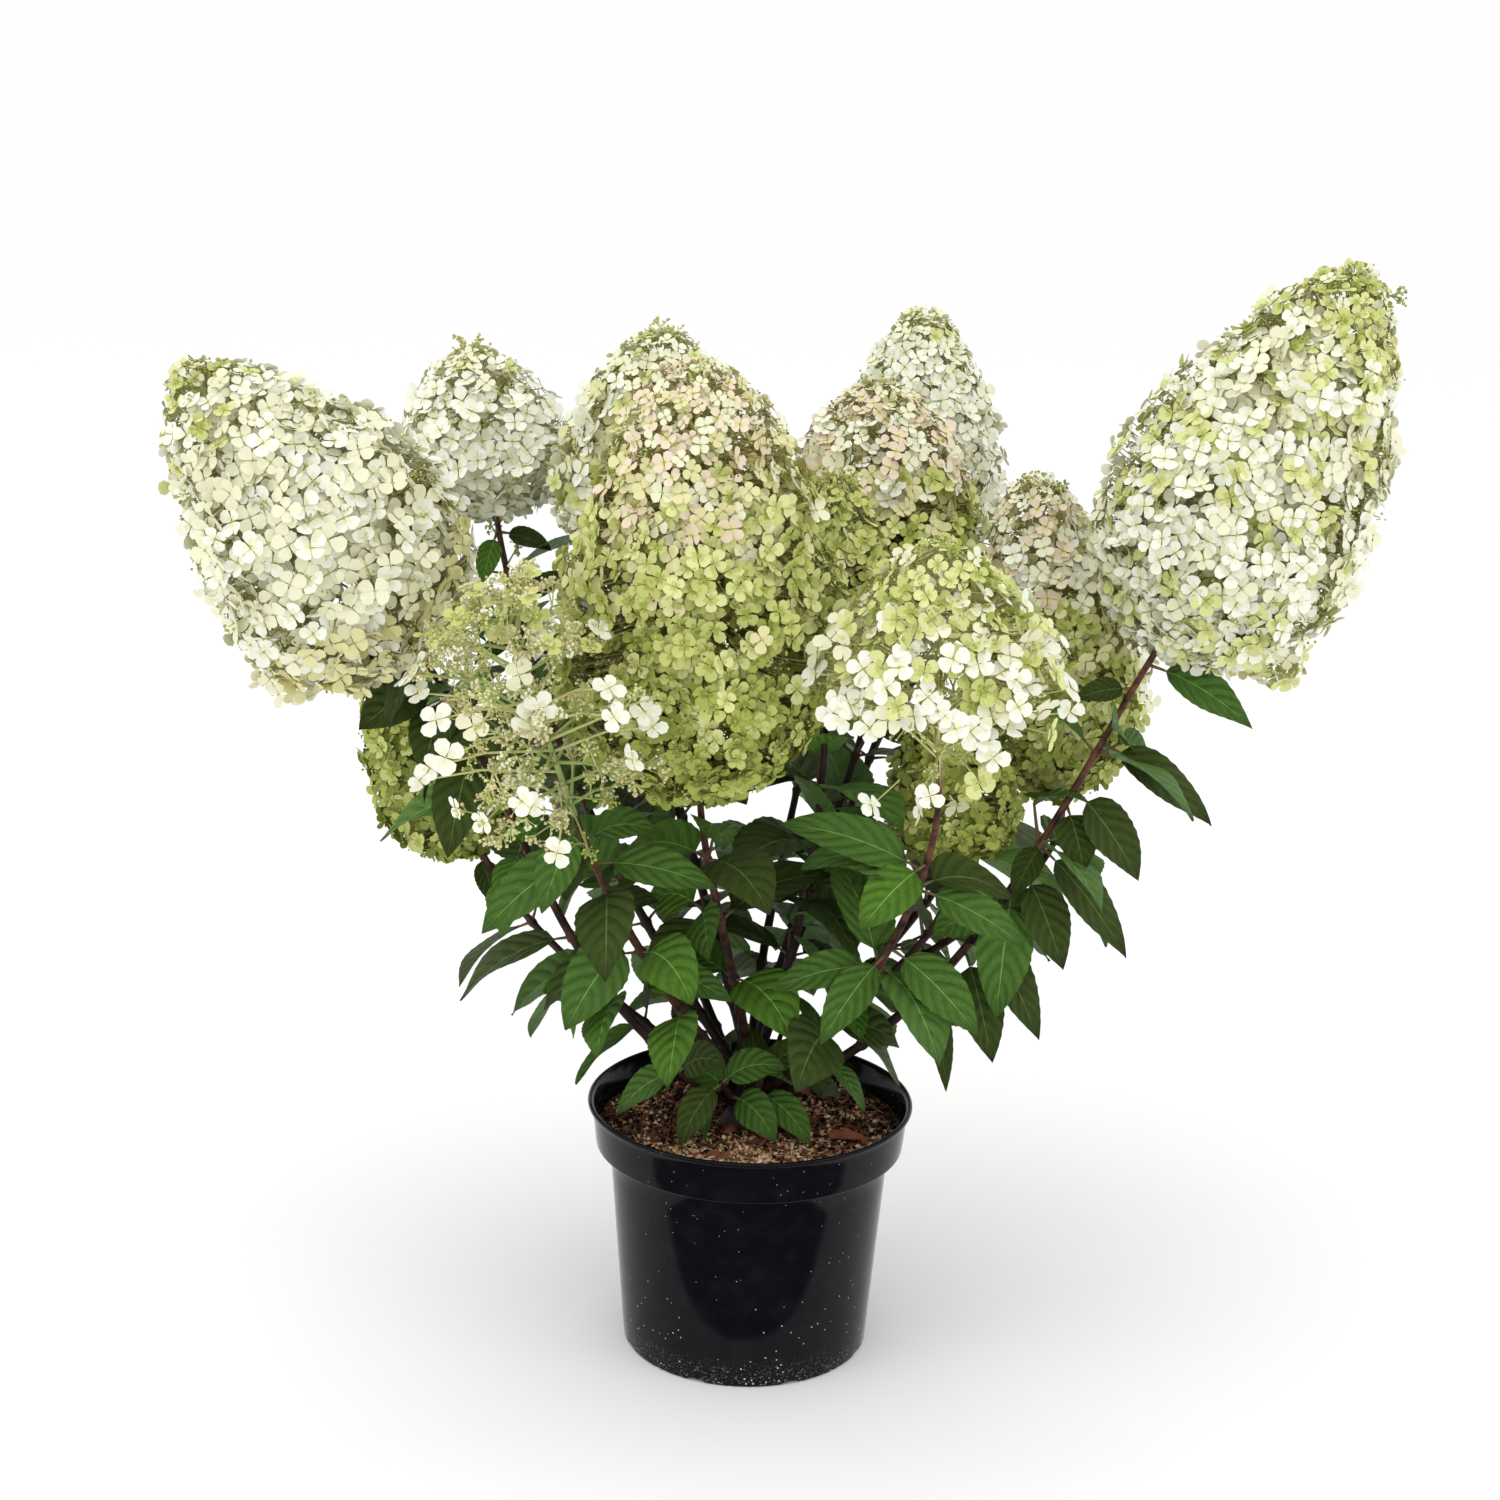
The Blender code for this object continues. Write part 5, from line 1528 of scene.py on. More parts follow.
def bud_clusters(shoot, look, rng, bunch):
    """Clusters of closed buds between the florets."""
    count = round(skin_area(shoot) / (bunch.settings.floret_room * 1.75))
    t, turns = skin_places(shoot, count)
    t = np.clip(t + rng.normal(0, 0.02, count), 0.02, 0.99)
    t = t[t > form_of(shoot).foot - 0.05]
    count = len(t)
    turns = turns[:count] + rng.uniform(0, math.tau, count)
    centres, facing = skin_points(shoot, t, turns, rng.uniform(0.80, 0.97, count))
    stem_start = centres - facing * rng.uniform(12, 20, (count, 1)) * MM
    bunch.stalk(stem_start, centres, 0.7 * MM, 0.45 * MM, "stalk_olive")
    each = 4
    centres = np.repeat(centres, each, 0) + rng.normal(0, 2.4 * MM, (count * each, 3))
    facing = np.repeat(facing, each, 0)
    sizes = bunch.settings.bud * rng.uniform(0.6, 1.1, len(centres))
    tints = rng.choice(numbers_of(look.buds), count)
    bunch.buds.scatter(SMALL_BEAD, centres, turned_frames(facing, rng.uniform(0, 6, len(centres)), sizes),
                       np.repeat(tints, each))


def turned_out(axis, turn):
    """The way square to an axis at a turn about it."""
    side, other = square_to(axis)
    return side * math.cos(turn) + other * math.sin(turn)


def tip_sprays(shoot, rng, bunch):
    """Sprays of closed buds that stand out of a head's tip."""
    axis = panicle_heading(shoot)
    end = form_of(shoot).end
    for k in range(3 + round(45 * shoot.radius)):
        way = unit(axis + turned_out(axis, k * GOLDEN_ANGLE) * rng.uniform(0.4, 1.6))
        start = axis_points(shoot, end * rng.uniform(0.88, 0.96))[0]
        bunch.spray(start, way, rng.uniform(10, 16) * MM, 8,
                    ("bud_green", "lime", "pale_lime", "cream_green"), rng)


def side_sprigs(shoot, rng, bunch):
    """The sprigs of closed buds listed for one shoot."""
    course = cane_course(shoot)
    for sprig in (sprig for sprig in SPRIGS if sprig.shoot == shoot.name):
        far = sprig.share * (course.length + shoot.length)
        if far < course.length:
            (start,), (along,) = course.at(far)
        else:
            along = panicle_heading(shoot)
            start = axis_points(shoot, (far - course.length) / shoot.length)[0]
        rise = math.radians(sprig.rise)
        way = turned_out(along, math.radians(sprig.turn)) * math.cos(rise) + along * math.sin(rise)
        bunch.spray(start, way, sprig.length, 16, ("bud_green", "lime", "deep_lime"), rng, "stalk_green")


def single_florets(shoot, rng, bunch):
    """The florets listed for one head, on thin branches from its axis."""
    axis, foot = panicle_heading(shoot), panicle_foot(shoot)
    for number, single in enumerate(SINGLES):
        if single.shoot != shoot.name:
            continue
        way = sight_line(single.photo_x, single.photo_y)
        depths = depth_of(foot) + np.linspace(-1.4, 1.4, 281) * shoot.radius
        line = np.array(CAMERA_PLACE) + np.outer(depths, way)
        t = (line - foot) @ axis / shoot.length
        apart = np.linalg.norm(line - foot - np.outer((line - foot) @ axis, axis), axis=1)
        outside = apart / shoot.radius - 0.92 * head_radius(shoot, np.clip(t, 0.05, 0.97)) / shoot.radius
        outside += 2.0 * np.maximum(0.02 - t, 0.0) + 2.0 * np.maximum(t - 0.98, 0.0)
        met = int(np.argmax(outside < 0.0)) if np.any(outside < 0.0) else int(np.argmin(outside))
        place = line[met]
        root = axis_points(shoot, np.clip(t[met] - 0.16, 0.03, 0.85))[0]
        elbow = between(root, place, 0.55) + 5 * MM * UP
        bunch.stem(np.array([root, elbow, place]), np.array((1.3, 0.9, 0.6)), "stalk_pale")
        facing = unit(0.75 * unit(-way) + 0.35 * UP + 0.4 * unit(place - root) + rng.normal(0, 0.12, 3))
        size = 0.56 * bunch.settings.floret * single.size
        frames = turned_frames(facing[None], rng.uniform(0, 6, 1), np.array([size]))
        kind = np.array([number % len(bunch.shapes)])
        bunch.open_florets(kind, place[None], frames, np.array([NUMBER[single.tint]]))
        bunch.spray(elbow, unit(place - elbow + 6 * MM * UP), 8 * MM, 9,
                    ("bud_green", "cream_green", "cream"), rng)


def side_lobes(shoot, rng, bunch):
    """The long side branches of a head: tufts of florets that hang out of its outline."""
    for lobe in (lobe for lobe in LOBES if lobe.shoot == shoot.name):
        (root,), (facing,) = skin_points(shoot, np.array([lobe.t]), np.radians([lobe.turn]), np.array([0.8]))
        way = unit(facing - UP * lobe.drop)
        count = round(SKIN_SHARE * math.tau * lobe.radius * lobe.length / bunch.settings.floret_room)
        t = (np.arange(count) + 0.5) / count
        turns = np.arange(count) * GOLDEN_ANGLE
        side, other = square_to(way)
        out = np.outer(np.cos(turns), side) + np.outer(np.sin(turns), other)
        thick = np.sqrt(np.maximum(1.0 - (1.9 * t - 0.95) ** 2, 0.0)) * lobe.radius
        spine = root + np.outer(t * lobe.length, way)
        centres = spine + out * (thick * rng.uniform(0.86, 1.06, count))[:, None]
        facing = tilted(out + 0.8 * np.outer(2 * t - 1, way), 0.3, rng)
        sizes = 0.5 * bunch.settings.floret * LOOKS[shoot.name].size * rng.uniform(0.8, 1.05, count)
        tints = rng.choice(numbers_of(lobe.tints), count)
        kinds = np.arange(count) % len(bunch.shapes)
        bunch.open_florets(kinds, centres, turned_frames(facing, turns, sizes), tints)
        bunch.stalk(spine - way * 8 * MM, centres, 0.75 * MM, 0.5 * MM, "stalk_pale")
        bunch.stem(root + np.outer(np.linspace(-0.5, 0.9, 6) * lobe.length, way),
                   np.linspace(1.6, 0.8, 6), "stalk_olive")


def branch_frame(shoot, rng, bunch):
    """The branches inside a flower head, in tiers along its axis."""
    tiers = max(4, round(shoot.length / (24 * MM)))
    starts, ends = [], []
    for tier in range(tiers):
        t = between(0.03 + 0.7 * form_of(shoot).foot, 0.86, tier / (tiers - 1))
        for k in range(4):
            turn = (tier * 0.5 + k) * math.pi / 2 + rng.uniform(-0.3, 0.3)
            end, _ = skin_points(shoot, np.array([min(0.95, t + 0.09)]), np.array([turn]), np.array([0.72]))
            starts.append(axis_points(shoot, t)[0])
            ends.append(end[0])
    bunch.stalk(starts, ends, 1.5 * MM, 0.9 * MM, "stalk_pale", 5)
    bunch.stem(axis_points(shoot, np.linspace(0.0, 0.97, 12)), np.linspace(2.4, 0.9, 12), "stalk_pale", 6)


def airy_branches(shoot, rng, bunch):
    """The branches of the open head, and the place, way, length, tier and share of each fork."""
    axis = panicle_heading(shoot)
    forks = []
    for tier in range(AIRY_TIERS):
        t = between(0.05, 0.88, tier / (AIRY_TIERS - 1))
        ring = 3 if tier % 2 else 4
        for k in range(ring):
            turn = np.array([tier * 0.8 + k * math.tau / ring + rng.uniform(-0.25, 0.25)])
            root = axis_points(shoot, t)[0]
            share_out = rng.uniform(0.78, 0.94) * np.interp(t, (0.05, 0.3), (0.6, 1.0))
            (end,), _ = skin_points(shoot, np.array([min(0.96, t + 0.10)]), turn, np.array([share_out]))
            middle = between(root, end, 0.5) + axis * 5 * MM
            branch = Course([root, between(root, middle, 0.5), middle, between(middle, end, 0.5), end])
            bunch.stem(branch.points, np.linspace(1.5, 0.9, 5), "stalk_green")
            for share in (0.45, 0.64, 0.82, 1.0):
                (place,), (along,) = branch.at(branch.length * share)
                for _ in range(2 if share < 1.0 else 3):
                    way = unit(along * 0.8 + axis * 0.3 + rng.normal(0, 0.5, 3))
                    forks.append((place, way, rng.uniform(9, 18) * MM, t, share))
    return [np.array(column) for column in zip(*forks)]


def airy_head(shoot, number, bunch):
    """A young flower head: bare branches that fork twice and end in buds, with a few open florets."""
    rng = np.random.default_rng(PANICLE_SEED + number)
    bunch.stem(axis_points(shoot, np.linspace(0.0, 0.97, 12)), np.linspace(2.7, 1.0, 12), "stalk_green", 6)
    starts, ways, lengths, tiers, shares = airy_branches(shoot, rng, bunch)
    ends = starts + ways * lengths[:, None]
    bunch.stalk(starts, ends, 0.85 * MM, 0.6 * MM,
                rng.choice(numbers_of(("stalk_green", "stalk_pale")), len(ends)))
    each = 11
    spread = rng.normal(0, 0.62, (len(ends), each, 3))
    beads = (ends[:, None] + unit(spread + ways[:, None]) * rng.uniform(6, 9, (len(ends), each, 1)) * MM)
    beads = beads.reshape(-1, 3)
    bunch.stalk(np.repeat(ends, each, 0), beads, 0.45 * MM, 0.36 * MM, "stalk_pale")
    frames = turned_frames(np.repeat(ways, each, 0), rng.uniform(0, 6, len(beads)),
                           bunch.settings.bud * rng.uniform(0.75, 1.25, len(beads)))
    names = ("cream", "ivory", "cream", "cream_green", "beige", "pale_lime")
    tints = rng.choice(numbers_of(names), len(ends))
    bunch.buds.scatter(BEAD, beads, frames, np.repeat(tints, each))
    outer = np.flatnonzero((shares == 1.0) & (tiers > 0.2))
    chosen = rng.permutation(outer)[:AIRY_FLORETS]
    centres = ends[chosen] + ways[chosen] * 8 * MM
    facing = tilted(unit(centres - axis_points(shoot, 0.35)[0]) + 0.3 * UP, 0.2, rng)
    young = tiers[chosen] > 0.6
    tints = np.where(young, NUMBER["pale_lime"], NUMBER["white"])
    sizes = 0.5 * bunch.settings.floret * np.where(young, 0.8, 0.96) * rng.uniform(0.85, 1.1, len(centres))
    frames = turned_frames(facing, rng.uniform(0, 6, len(centres)), sizes)
    bunch.open_florets(rng.integers(0, len(bunch.shapes), len(centres)), centres, frames, tints)


def tint_materials():
    materials = []
    for name, colour in TINTS.items():
        kind = "stalk" if name.startswith(("stalk", "bud", "brown")) else "petal"
        materials.append(new_material("%s_%s" % (kind, name), colour, 0.62, 0.3))
    return materials


def build_panicles(context):
    rng = np.random.default_rng(PANICLE_SEED)
    shapes = [floret_shape(rng) for _ in range(FLORET_KINDS)]
    materials = tint_materials()
    numbers = {shoot.name: k for k, shoot in enumerate(SHOOTS)}
    for group, names in PANICLE_GROUPS.items():
        bunch = Bunch(context.scene.hydrangea_panicles, shapes)
        for name in names:
            shoot = SHOOTS[numbers[name]]
            grow = airy_head if shoot.airy else dense_head
            grow(shoot, numbers[name], bunch)
            side_sprigs(shoot, rng, bunch)
            single_florets(shoot, rng, bunch)
        obj = bunch.florets.build("florets_" + group, materials, slot_name="petals")
        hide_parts(*("panicle_" + name for name in names))
        bunch.buds.build("buds_" + group, materials, slot_name="petals")
        bunch.stalks.build("stalks_" + group, materials, slot_name="petals")


# Pot

def pot_profile():
    """The pot's outline from the middle of its underside, up the outside and down the inside."""
    shoulder = POT_HEIGHT - COLLAR_DEPTH
    lip_foot = POT_HEIGHT - LIP_DEPTH
    collar_foot = COLLAR_RADIUS - COLLAR_TAPER
    floor = FOOT_DEPTH + POT_WALL
    half = 0.5 * LIP_DEPTH
    profile = [(0.0, 0.0), (30 * MM, 0.0), (PAD_RADIUS - FOOT_DEPTH - MM, 0.0),
               (PAD_RADIUS - FOOT_DEPTH, 0.3 * MM), (PAD_RADIUS, FOOT_DEPTH),
               (BASE_RADIUS - FOOT_WIDTH - FOOT_DEPTH, FOOT_DEPTH),
               (BASE_RADIUS - FOOT_WIDTH, 0.3 * MM), (BASE_RADIUS - FOOT_WIDTH + MM, 0.0)]
    profile += rounded((BASE_RADIUS, 0.0), (-1, 0), (0.08, 1), 2.4 * MM)
    for share in (0.12, 0.3, 0.5, 0.7, 0.88):
        profile.append((between(BASE_RADIUS, BODY_RADIUS, share), shoulder * share))
    profile += [(BODY_RADIUS - 0.1 * MM, shoulder - 1.5 * MM), (BODY_RADIUS + 0.7 * MM, shoulder - 0.2 * MM)]
    profile += rounded((collar_foot, shoulder), (-1, 0), (0.09, 1), 2.6 * MM)
    for share in (0.3, 0.6, 0.85):
        profile.append((between(collar_foot, COLLAR_RADIUS, share), between(shoulder, lip_foot, share)))
    profile += [(COLLAR_RADIUS, lip_foot - 1.2 * MM), (COLLAR_RADIUS + 0.8 * MM, lip_foot - 0.1 * MM)]
    for k in range(7):
        angle = math.radians(-80 + 30 * k)
        radius = LIP_RADIUS - half + half * math.cos(angle)
        profile.append((radius, POT_HEIGHT - half + half * math.sin(angle)))
    profile += [(COLLAR_RADIUS - POT_WALL, POT_HEIGHT - 2.4 * MM),
                (collar_foot - POT_WALL, shoulder + 2.5 * MM), (BODY_RADIUS - POT_WALL, shoulder),
                (BASE_RADIUS - POT_WALL, floor), (0.0, floor)]
    return profile


def rounded(corner, before, after, radius, steps=5):
    """Points that round a corner of a profile, from one side of it to the other."""
    start = np.array(corner) + radius * np.array(before)
    end = np.array(corner) + radius * unit(after)
    points = []
    for k in range(steps + 1):
        t = k / steps
        points.append(tuple((1 - t) ** 2 * start + 2 * t * (1 - t) * np.array(corner) + t * t * end))
    return points


def notch_lift(radius, angle, height):
    """How far the foot ring is cut away at a place on it."""
    if height > NOTCH_DEPTH or radius < BASE_RADIUS - FOOT_WIDTH - FOOT_DEPTH:
        return height
    step = math.tau / NOTCH_COUNT
    off = angle % step - 0.5 * step
    return NOTCH_DEPTH if abs(off) * BASE_RADIUS < 0.5 * NOTCH_WIDTH else height


def plastic_material(settings):
    """Black plastic: fine moulding marks, dull handling patches, specks of dust and splashed soil."""
    material = new_material("pot_plastic", settings.plastic, settings.gloss, 0.12)
    nodes = Nodes(material)
    place = nodes.place()
    height = nodes.add("ShaderNodeSeparateXYZ", {0: place}).outputs[2]
    cells = nodes.add("ShaderNodeTexVoronoi", {"Vector": place, "Scale": 170.0})
    low = nodes.ramp(height, 0.12, 0.0)
    reach = nodes.maths("ADD", 0.055, nodes.times(low, 0.07))
    chance = nodes.maths("GREATER_THAN", nodes.noise(38.0, 2.0), 0.44)
    dots = nodes.times(nodes.maths("LESS_THAN", cells.outputs[0], reach), chance)
    film = nodes.times(nodes.ramp(nodes.noise(14.0, 4.0), 0.45, 0.75), 0.006)
    splash = nodes.times(nodes.ramp(nodes.noise(120.0, 5.0, roughness=0.7), 0.56, 0.70),
                         nodes.times(nodes.ramp(height, 0.026, 0.0), 0.62))
    dusty = nodes.mix(nodes.maths("ADD", film, splash), tuple(settings.plastic), tuple(settings.dust))
    colour = nodes.mix(nodes.times(dots, 0.9), dusty, tuple(settings.dust))
    nodes.feed(nodes.shader.inputs["Base Color"], colour)
    dull = nodes.times(nodes.ramp(nodes.noise(22.0, 5.0, roughness=0.65), 0.45, 0.85), 0.12)
    nodes.feed(nodes.shader.inputs["Roughness"], nodes.maths("ADD", dull, settings.gloss))
    nodes.bump(nodes.noise(180.0, 3.0), 0.06, 0.5 * MM)
    return material


def build_pot(context):
    settings = context.scene.hydrangea_pot
    profile = pot_profile()
    sides = settings.segments
    points, faces = [], []
    for radius, height in profile:
        for k in range(sides):
            angle = math.tau * (k + 0.5) / sides
            z = notch_lift(radius, angle, height)
            points.append((radius * math.cos(angle), radius * math.sin(angle), z))
    for row in range(len(profile) - 1):
        for k in range(sides):
            low, after = row * sides + k, row * sides + (k + 1) % sides
            if profile[row][0] > 0.0:
                faces.append((low, after, after + sides))
            if profile[row + 1][0] > 0.0:
                faces.append((low, after + sides, low + sides))
    heap = Heap()
    heap.add(points, faces)
    obj = heap.build("pot_shell", [plastic_material(settings)], slot_name="pot")
    obj.data.set_sharp_from_angle(angle=math.radians(50))
    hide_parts("pot")


# Soil

SOIL_RINGS = 74
SOIL_TURNS = 220
SOIL_SEED = 9


def soil_height(x, y):
    """The soil's level: lumps and crumbs on a gentle dome."""
    apart = math.hypot(x, y)
    dome = -SOIL_EDGE_DROP * (apart / BODY_RADIUS) ** 2
    lump = noise.noise(Vector((x, y, 0.0)) / (26 * MM)) * 2.2 * MM
    crumb = noise.noise(Vector((x, y, 0.7)) / (6 * MM)) * 1.5 * MM
    grit = noise.noise(Vector((x, y, 1.9)) / (2.2 * MM)) * 0.8 * MM
    return SOIL_TOP - 1.0 * MM + dome + lump + crumb + grit


def soil_material(settings):
    """Moist peat with dry brown fibres and crumbs."""
    material = new_material("soil_peat", settings.peat, 0.95, 0.2)
    nodes = Nodes(material)
    grain = nodes.noise(330.0, 5.0, roughness=0.75)
    patch = nodes.noise(24.0, 3.0)
    depth = nodes.add("ShaderNodeSeparateXYZ", {0: nodes.place()}).outputs[1]
    dry_and_lit_front = nodes.maths("MAXIMUM", nodes.ramp(patch, 0.42, 0.62), nodes.ramp(depth, -0.055, -0.105))
    dry = nodes.times(nodes.ramp(grain, 0.44, 0.56), dry_and_lit_front)
    base = nodes.mix(nodes.ramp(grain, 0.3, 0.6), tuple(0.4 * c for c in settings.peat), tuple(settings.peat))
    nodes.feed(nodes.shader.inputs["Base Color"], nodes.mix(dry, base, tuple(settings.crumb)))
    nodes.bump(grain, 0.9, 1.5 * MM)
    return material


def crumb_shape(rng):
    points, faces = bead(1, 4)
    return points * rng.uniform(0.65, 1.25, points.shape), faces


GRAIN_TINTS = {
    "grain_dark": (0.012, 0.007, 0.005),
    "grain_brown": (0.21, 0.078, 0.038),
    "grain_tan": (0.76, 0.40, 0.22),
    "grain_gold": (0.80, 0.52, 0.24),
    "grain_pale": (0.90, 0.76, 0.56),
}


def build_soil(context):
    settings = context.scene.hydrangea_soil
    rng = np.random.default_rng(SOIL_SEED)
    rim = COLLAR_RADIUS - COLLAR_TAPER * 0.6 - POT_WALL + 0.4 * MM
    points = [(0.0, 0.0, soil_height(0.0, 0.0))]
    for ring in range(1, SOIL_RINGS + 1):
        radius = rim * ring / SOIL_RINGS
        for k in range(SOIL_TURNS):
            angle = math.tau * (k + 0.5 * (ring % 2)) / SOIL_TURNS
            x, y = radius * math.cos(angle), radius * math.sin(angle)
            points.append((x, y, soil_height(x, y)))
    faces = [(0, 1 + k, 1 + (k + 1) % SOIL_TURNS) for k in range(SOIL_TURNS)]
    for ring in range(SOIL_RINGS - 1):
        for k in range(SOIL_TURNS):
            low, after = 1 + ring * SOIL_TURNS + k, 1 + ring * SOIL_TURNS + (k + 1) % SOIL_TURNS
            faces += [(low, low + SOIL_TURNS, after), (after, low + SOIL_TURNS, after + SOIL_TURNS)]
    heap = Heap()
    heap.add(points, faces)
    obj = heap.build("soil_bed", [soil_material(settings)], slot_name="soil")
    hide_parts("soil")
    build_grains(settings, rng, rim)
    build_fibres(settings, rng, rim)
    build_litter(settings, rng, rim)


def build_grains(settings, rng, rim):
    """Loose grains and crumbs on the soil, paler towards the front rim as painted light, with pale grains at
    random elsewhere.
    """
    heap = Heap()
    shapes = [crumb_shape(rng) for _ in range(6)]
    radius = (rim - 3 * MM) * np.sqrt(rng.uniform(0, 1, settings.grains))
    angle = rng.uniform(0, math.tau, settings.grains)
    x, y = radius * np.cos(angle), radius * np.sin(angle)
    z = np.array([soil_height(a, b) for a, b in zip(x, y)])
    sizes = rng.uniform(0.60, 1.62, settings.grains) ** 1.9 * MM
    centres = np.stack([x, y, z + 0.3 * sizes], 1)
    # Painted light: the share of pale grains grows towards the front; the noise spreads pale grains at random
    pale = np.clip(0.20 + 9.0 * np.maximum(-y - 0.02, 0.0) + rough(centres, 26 * MM, 3.0) * 0.9, 0.04, 0.92)
    light = rng.uniform(0, 1, settings.grains) < pale
    tint = np.where(light, rng.choice([2, 3, 4], settings.grains), rng.choice([0, 0, 1], settings.grains))
    facing = unit(rng.normal(0, 1, (settings.grains, 3)))
    frames = turned_frames(facing, angle, sizes)
    kinds = rng.integers(0, len(shapes), settings.grains)
    heap.scatter_kinds(shapes, kinds, centres, frames, tint)
    materials = [new_material(name, colour, 0.9, 0.2) for name, colour in GRAIN_TINTS.items()]
    heap.build("soil_grains", materials, smooth=False, slot_name="soil")


def build_fibres(settings, rng, rim):
    """Fine dry fibres that lie across each other on the soil, paler towards the front as painted light."""
    heap = Heap()
    radius = (rim - 4 * MM) * np.sqrt(rng.uniform(0, 1, settings.fibres))
    angle = rng.uniform(0, math.tau, settings.fibres)
    turn = rng.uniform(0, math.tau, settings.fibres)
    x, y = radius * np.cos(angle), radius * np.sin(angle)
    z = np.array([soil_height(a, b) for a, b in zip(x, y)]) + rng.uniform(0.3, 1.4, settings.fibres) * MM
    reach = rng.uniform(1.5, 5.0, settings.fibres) * MM
    way = np.stack([np.cos(turn), np.sin(turn), rng.normal(0, 0.16, settings.fibres)], 1)
    middle = np.stack([x, y, z], 1)
    half = way * reach[:, None]
    # Painted light: pale fibres grow more common towards the front of the soil
    lit_front_fibre = rng.uniform(0, 1, settings.fibres) < np.clip(-(y + 0.02) * 16, 0.14, 0.95)
    tint = np.where(lit_front_fibre, rng.choice([2, 3, 4], settings.fibres), rng.choice([0, 1, 1], settings.fibres))
    heap.add_sticks(middle - half, middle + half, 0.40 * MM, 0.22 * MM, tint)
    materials = [new_material("fibre_" + name, colour, 0.9, 0.2) for name, colour in GRAIN_TINTS.items()]
    heap.build("soil_fibres", materials, smooth=False, slot_name="soil")


def build_litter(settings, rng, rim):
    """Dry curled leaves that lie on the soil round the stump."""
    heap = Heap()
    for k in range(settings.litter):
        angle = rng.uniform(0, math.tau) if k % 2 else rng.uniform(math.pi, math.tau)
        apart = rng.uniform(30, 60) * MM if k % 3 else rng.uniform(34 * MM, rim - 24 * MM)
        x, y = apart * math.cos(angle), apart * math.sin(angle)
        length = rng.uniform(20, 42) * MM
        heading = direction(math.degrees(rng.uniform(0, math.tau)), 12)
        root = np.array((x, y, soil_height(x, y) + 3 * MM)) - heading * 0.4 * length
        leaf = Leaf(root, heading, UP, length, rng.uniform(0.2, 0.7), rng.uniform(0, 6),
                    int(rng.integers(0, 2)), 1.0)
        blade, _ = leaf_mesh(leaf, rng.uniform(0.35, 0.6))
        points = blade[0].copy()
        curl = rough(points, 9 * MM, k)
        points[:, 2] += 6.0 * MM * (curl + 0.3)
        floor = np.array([soil_height(p[0], p[1]) for p in points])
        points[:, 2] = np.maximum(points[:, 2], floor + 0.4 * MM)
        heap.add(points, blade[1], 0, blade[2])
    material = new_material("dry_leaf", (0.16, 0.055, 0.028), 0.8, 0.2)
    nodes = Nodes(material)
    shade = nodes.noise(90.0, 3.0)
    nodes.feed(nodes.shader.inputs["Base Color"],
               nodes.mix(nodes.ramp(shade, 0.35, 0.7), (0.16, 0.038, 0.020), (0.46, 0.19, 0.10)))
    nodes.bump(nodes.noise(260.0, 3.0), 0.5, 0.6 * MM)
    heap.build("fallen_leaves", [material], slot_name="leaves")


# Stage

CAMERA_PLACE = (-0.0075, -2.087, 1.083)
CAMERA_PITCH = math.radians(15.76)
CAMERA_ROLL = math.radians(1.5)
IMAGE_SIDE = 1500
FOCAL_PIXELS = 2803.0
SENSOR = 36.0
FLOOR_RADIUS = 400.0
# A dark card lies in front of the plant, out of the camera's sight. Only the pot's gloss shows it.
CARD_LIFT = 0.5 * MM
CARD_CORNERS = ((-1.7, -1.6), (1.7, -1.6), (1.5, -0.158), (-1.5, -0.158))


def soft_light(name, place, target, size, power, mirrored=True):
    lamp = bpy.data.lights.new(name, "AREA")
    lamp.shape = "RECTANGLE"
    lamp.size, lamp.size_y = size
    lamp.energy = power
    obj = bpy.data.objects.new(name, lamp)
    obj.location = place
    obj.rotation_euler = (Vector(target) - Vector(place)).to_track_quat("-Z", "Y").to_euler()
    obj.visible_glossy = mirrored
    bpy.context.scene.collection.objects.link(obj)


def build_stage(context):
    scene = context.scene
    camera = bpy.data.cameras.new("camera")
    camera.sensor_width = SENSOR
    camera.lens = FOCAL_PIXELS * SENSOR / IMAGE_SIDE
    view = bpy.data.objects.new("camera", camera)
    view.location = CAMERA_PLACE
    view.rotation_mode = "XYZ"
    view.rotation_euler = camera_turn().to_euler()
    scene.collection.objects.link(view)
    scene.camera = view

    flat_sheet("floor", disc_points(FLOOR_RADIUS), 0.99)
    card = flat_sheet("dark_card", [(x, y, CARD_LIFT) for x, y in CARD_CORNERS], 0.01)
    card.visible_camera = card.visible_diffuse = card.visible_shadow = False

    world = bpy.data.worlds.new("studio")
    world.use_nodes = True
    world.node_tree.nodes["Background"].inputs[0].default_value = (1.0, 1.0, 1.0, 1.0)
    world.node_tree.nodes["Background"].inputs[1].default_value = 1.0
    scene.world = world
    soft_light("top_light", (-0.5, -0.6, 3.2), (0.0, 0.0, 0.4), (2.6, 2.2), 16.0)
    soft_light("left_light", (-2.8, -1.6, 1.6), (0.0, 0.0, 0.45), (1.4, 2.4), 12.0)
    soft_light("right_light", (2.8, -1.4, 1.6), (0.0, 0.0, 0.45), (1.4, 2.4), 9.0)
    soft_light("front_light", (0.2, -3.2, 1.3), (0.0, 0.0, 0.5), (2.6, 1.8), 7.0, mirrored=False)
    scene.view_settings.view_transform = "Standard"


def disc_points(radius, count=64):
    angles = np.arange(count) * math.tau / count
    return [(radius * math.cos(a), radius * math.sin(a), 0.0) for a in angles]


def flat_sheet(name, points, grey):
    """A flat sheet of the stage in one grey."""
    mesh = bpy.data.meshes.new(name)
    mesh.from_pydata(points, [], [tuple(range(len(points)))])
    mesh.materials.append(new_material(name + "_paint", (grey, grey, grey), 0.9, 0.1))
    sheet = bpy.data.objects.new(name, mesh)
    bpy.context.scene.collection.objects.link(sheet)
    return sheet


# Operators

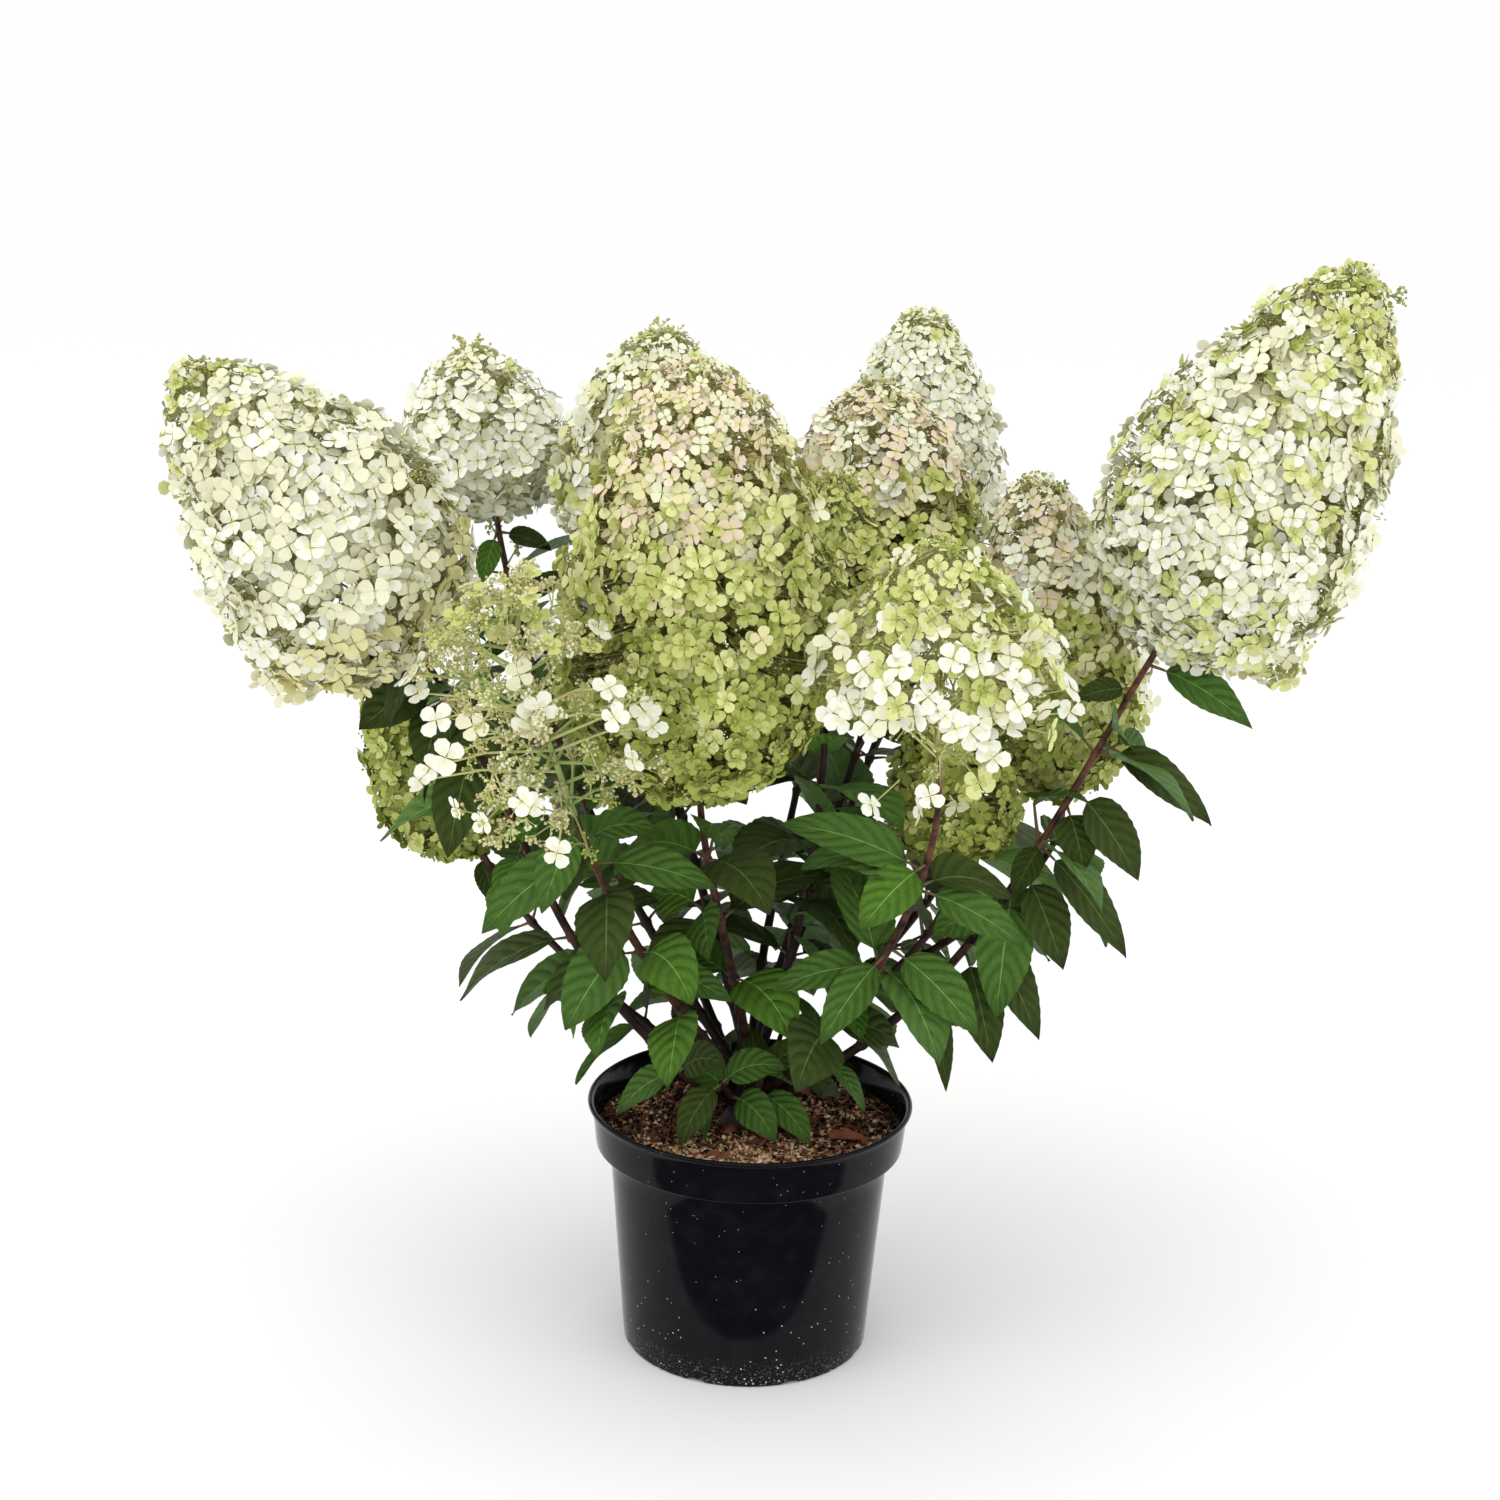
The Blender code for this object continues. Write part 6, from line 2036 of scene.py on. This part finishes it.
class HYDRANGEA_OT_stage(bpy.types.Operator):
    """Set up the camera, the pale floor and the soft lights."""

    bl_idname = "hydrangea.stage"
    bl_label = "Stage"

    def execute(self, context):
        build_stage(context)
        return {"FINISHED"}


class HYDRANGEA_OT_pot(bpy.types.Operator):
    """Turn the pot's shell and give it its plastic."""

    bl_idname = "hydrangea.pot"
    bl_label = "Pot"

    def execute(self, context):
        build_pot(context)
        return {"FINISHED"}


class HYDRANGEA_OT_soil(bpy.types.Operator):
    """Lay the soil with its grains and fallen leaves."""

    bl_idname = "hydrangea.soil"
    bl_label = "Soil"

    def execute(self, context):
        build_soil(context)
        return {"FINISHED"}


class HYDRANGEA_OT_canes(bpy.types.Operator):
    """Grow the stump and the canes with their bark."""

    bl_idname = "hydrangea.canes"
    bl_label = "Canes"

    def execute(self, context):
        build_canes(context)
        return {"FINISHED"}


class HYDRANGEA_OT_leaves(bpy.types.Operator):
    """Grow the pairs of leaves along the canes."""

    bl_idname = "hydrangea.leaves"
    bl_label = "Leaves"

    def execute(self, context):
        build_leaves(context)
        return {"FINISHED"}


class HYDRANGEA_OT_panicles(bpy.types.Operator):
    """Grow the flower heads: florets, buds and stalks."""

    bl_idname = "hydrangea.panicles"
    bl_label = "Flower heads"

    def execute(self, context):
        build_panicles(context)
        return {"FINISHED"}


class HYDRANGEA_PT_panel(bpy.types.Panel):
    """Lists the steps that build the plant, with their settings."""

    bl_label = "Hydrangea"
    bl_idname = "HYDRANGEA_PT_panel"
    bl_space_type = "VIEW_3D"
    bl_region_type = "UI"
    bl_category = "Hydrangea"

    def draw(self, context):
        for settings_name, kind in SETTINGS.items():
            settings = getattr(context.scene, settings_name)
            for name in kind.__annotations__:
                self.layout.prop(settings, name)
        for operator in OPERATORS:
            self.layout.operator(operator.bl_idname)


OPERATORS = (HYDRANGEA_OT_stage, HYDRANGEA_OT_pot, HYDRANGEA_OT_soil, HYDRANGEA_OT_canes,
             HYDRANGEA_OT_leaves, HYDRANGEA_OT_panicles)
SETTINGS = {
    "hydrangea_pot": PotSettings,
    "hydrangea_soil": SoilSettings,
    "hydrangea_canes": CaneSettings,
    "hydrangea_leaves": LeafSettings,
    "hydrangea_panicles": PanicleSettings,
}


def register():
    for name, kind in SETTINGS.items():
        bpy.utils.register_class(kind)
        setattr(bpy.types.Scene, name, PointerProperty(type=kind))
    for kind in OPERATORS + (HYDRANGEA_PT_panel,):
        bpy.utils.register_class(kind)


def unregister():
    for kind in reversed(OPERATORS + (HYDRANGEA_PT_panel,)):
        bpy.utils.unregister_class(kind)
    for name, kind in reversed(SETTINGS.items()):
        delattr(bpy.types.Scene, name)
        bpy.utils.unregister_class(kind)


def main():
    register()
    bpy.ops.hydrangea.stage()
    bpy.ops.hydrangea.pot()
    bpy.ops.hydrangea.soil()
    bpy.ops.hydrangea.canes()
    bpy.ops.hydrangea.leaves()
    bpy.ops.hydrangea.panicles()


if __name__ == "__main__":
    main()
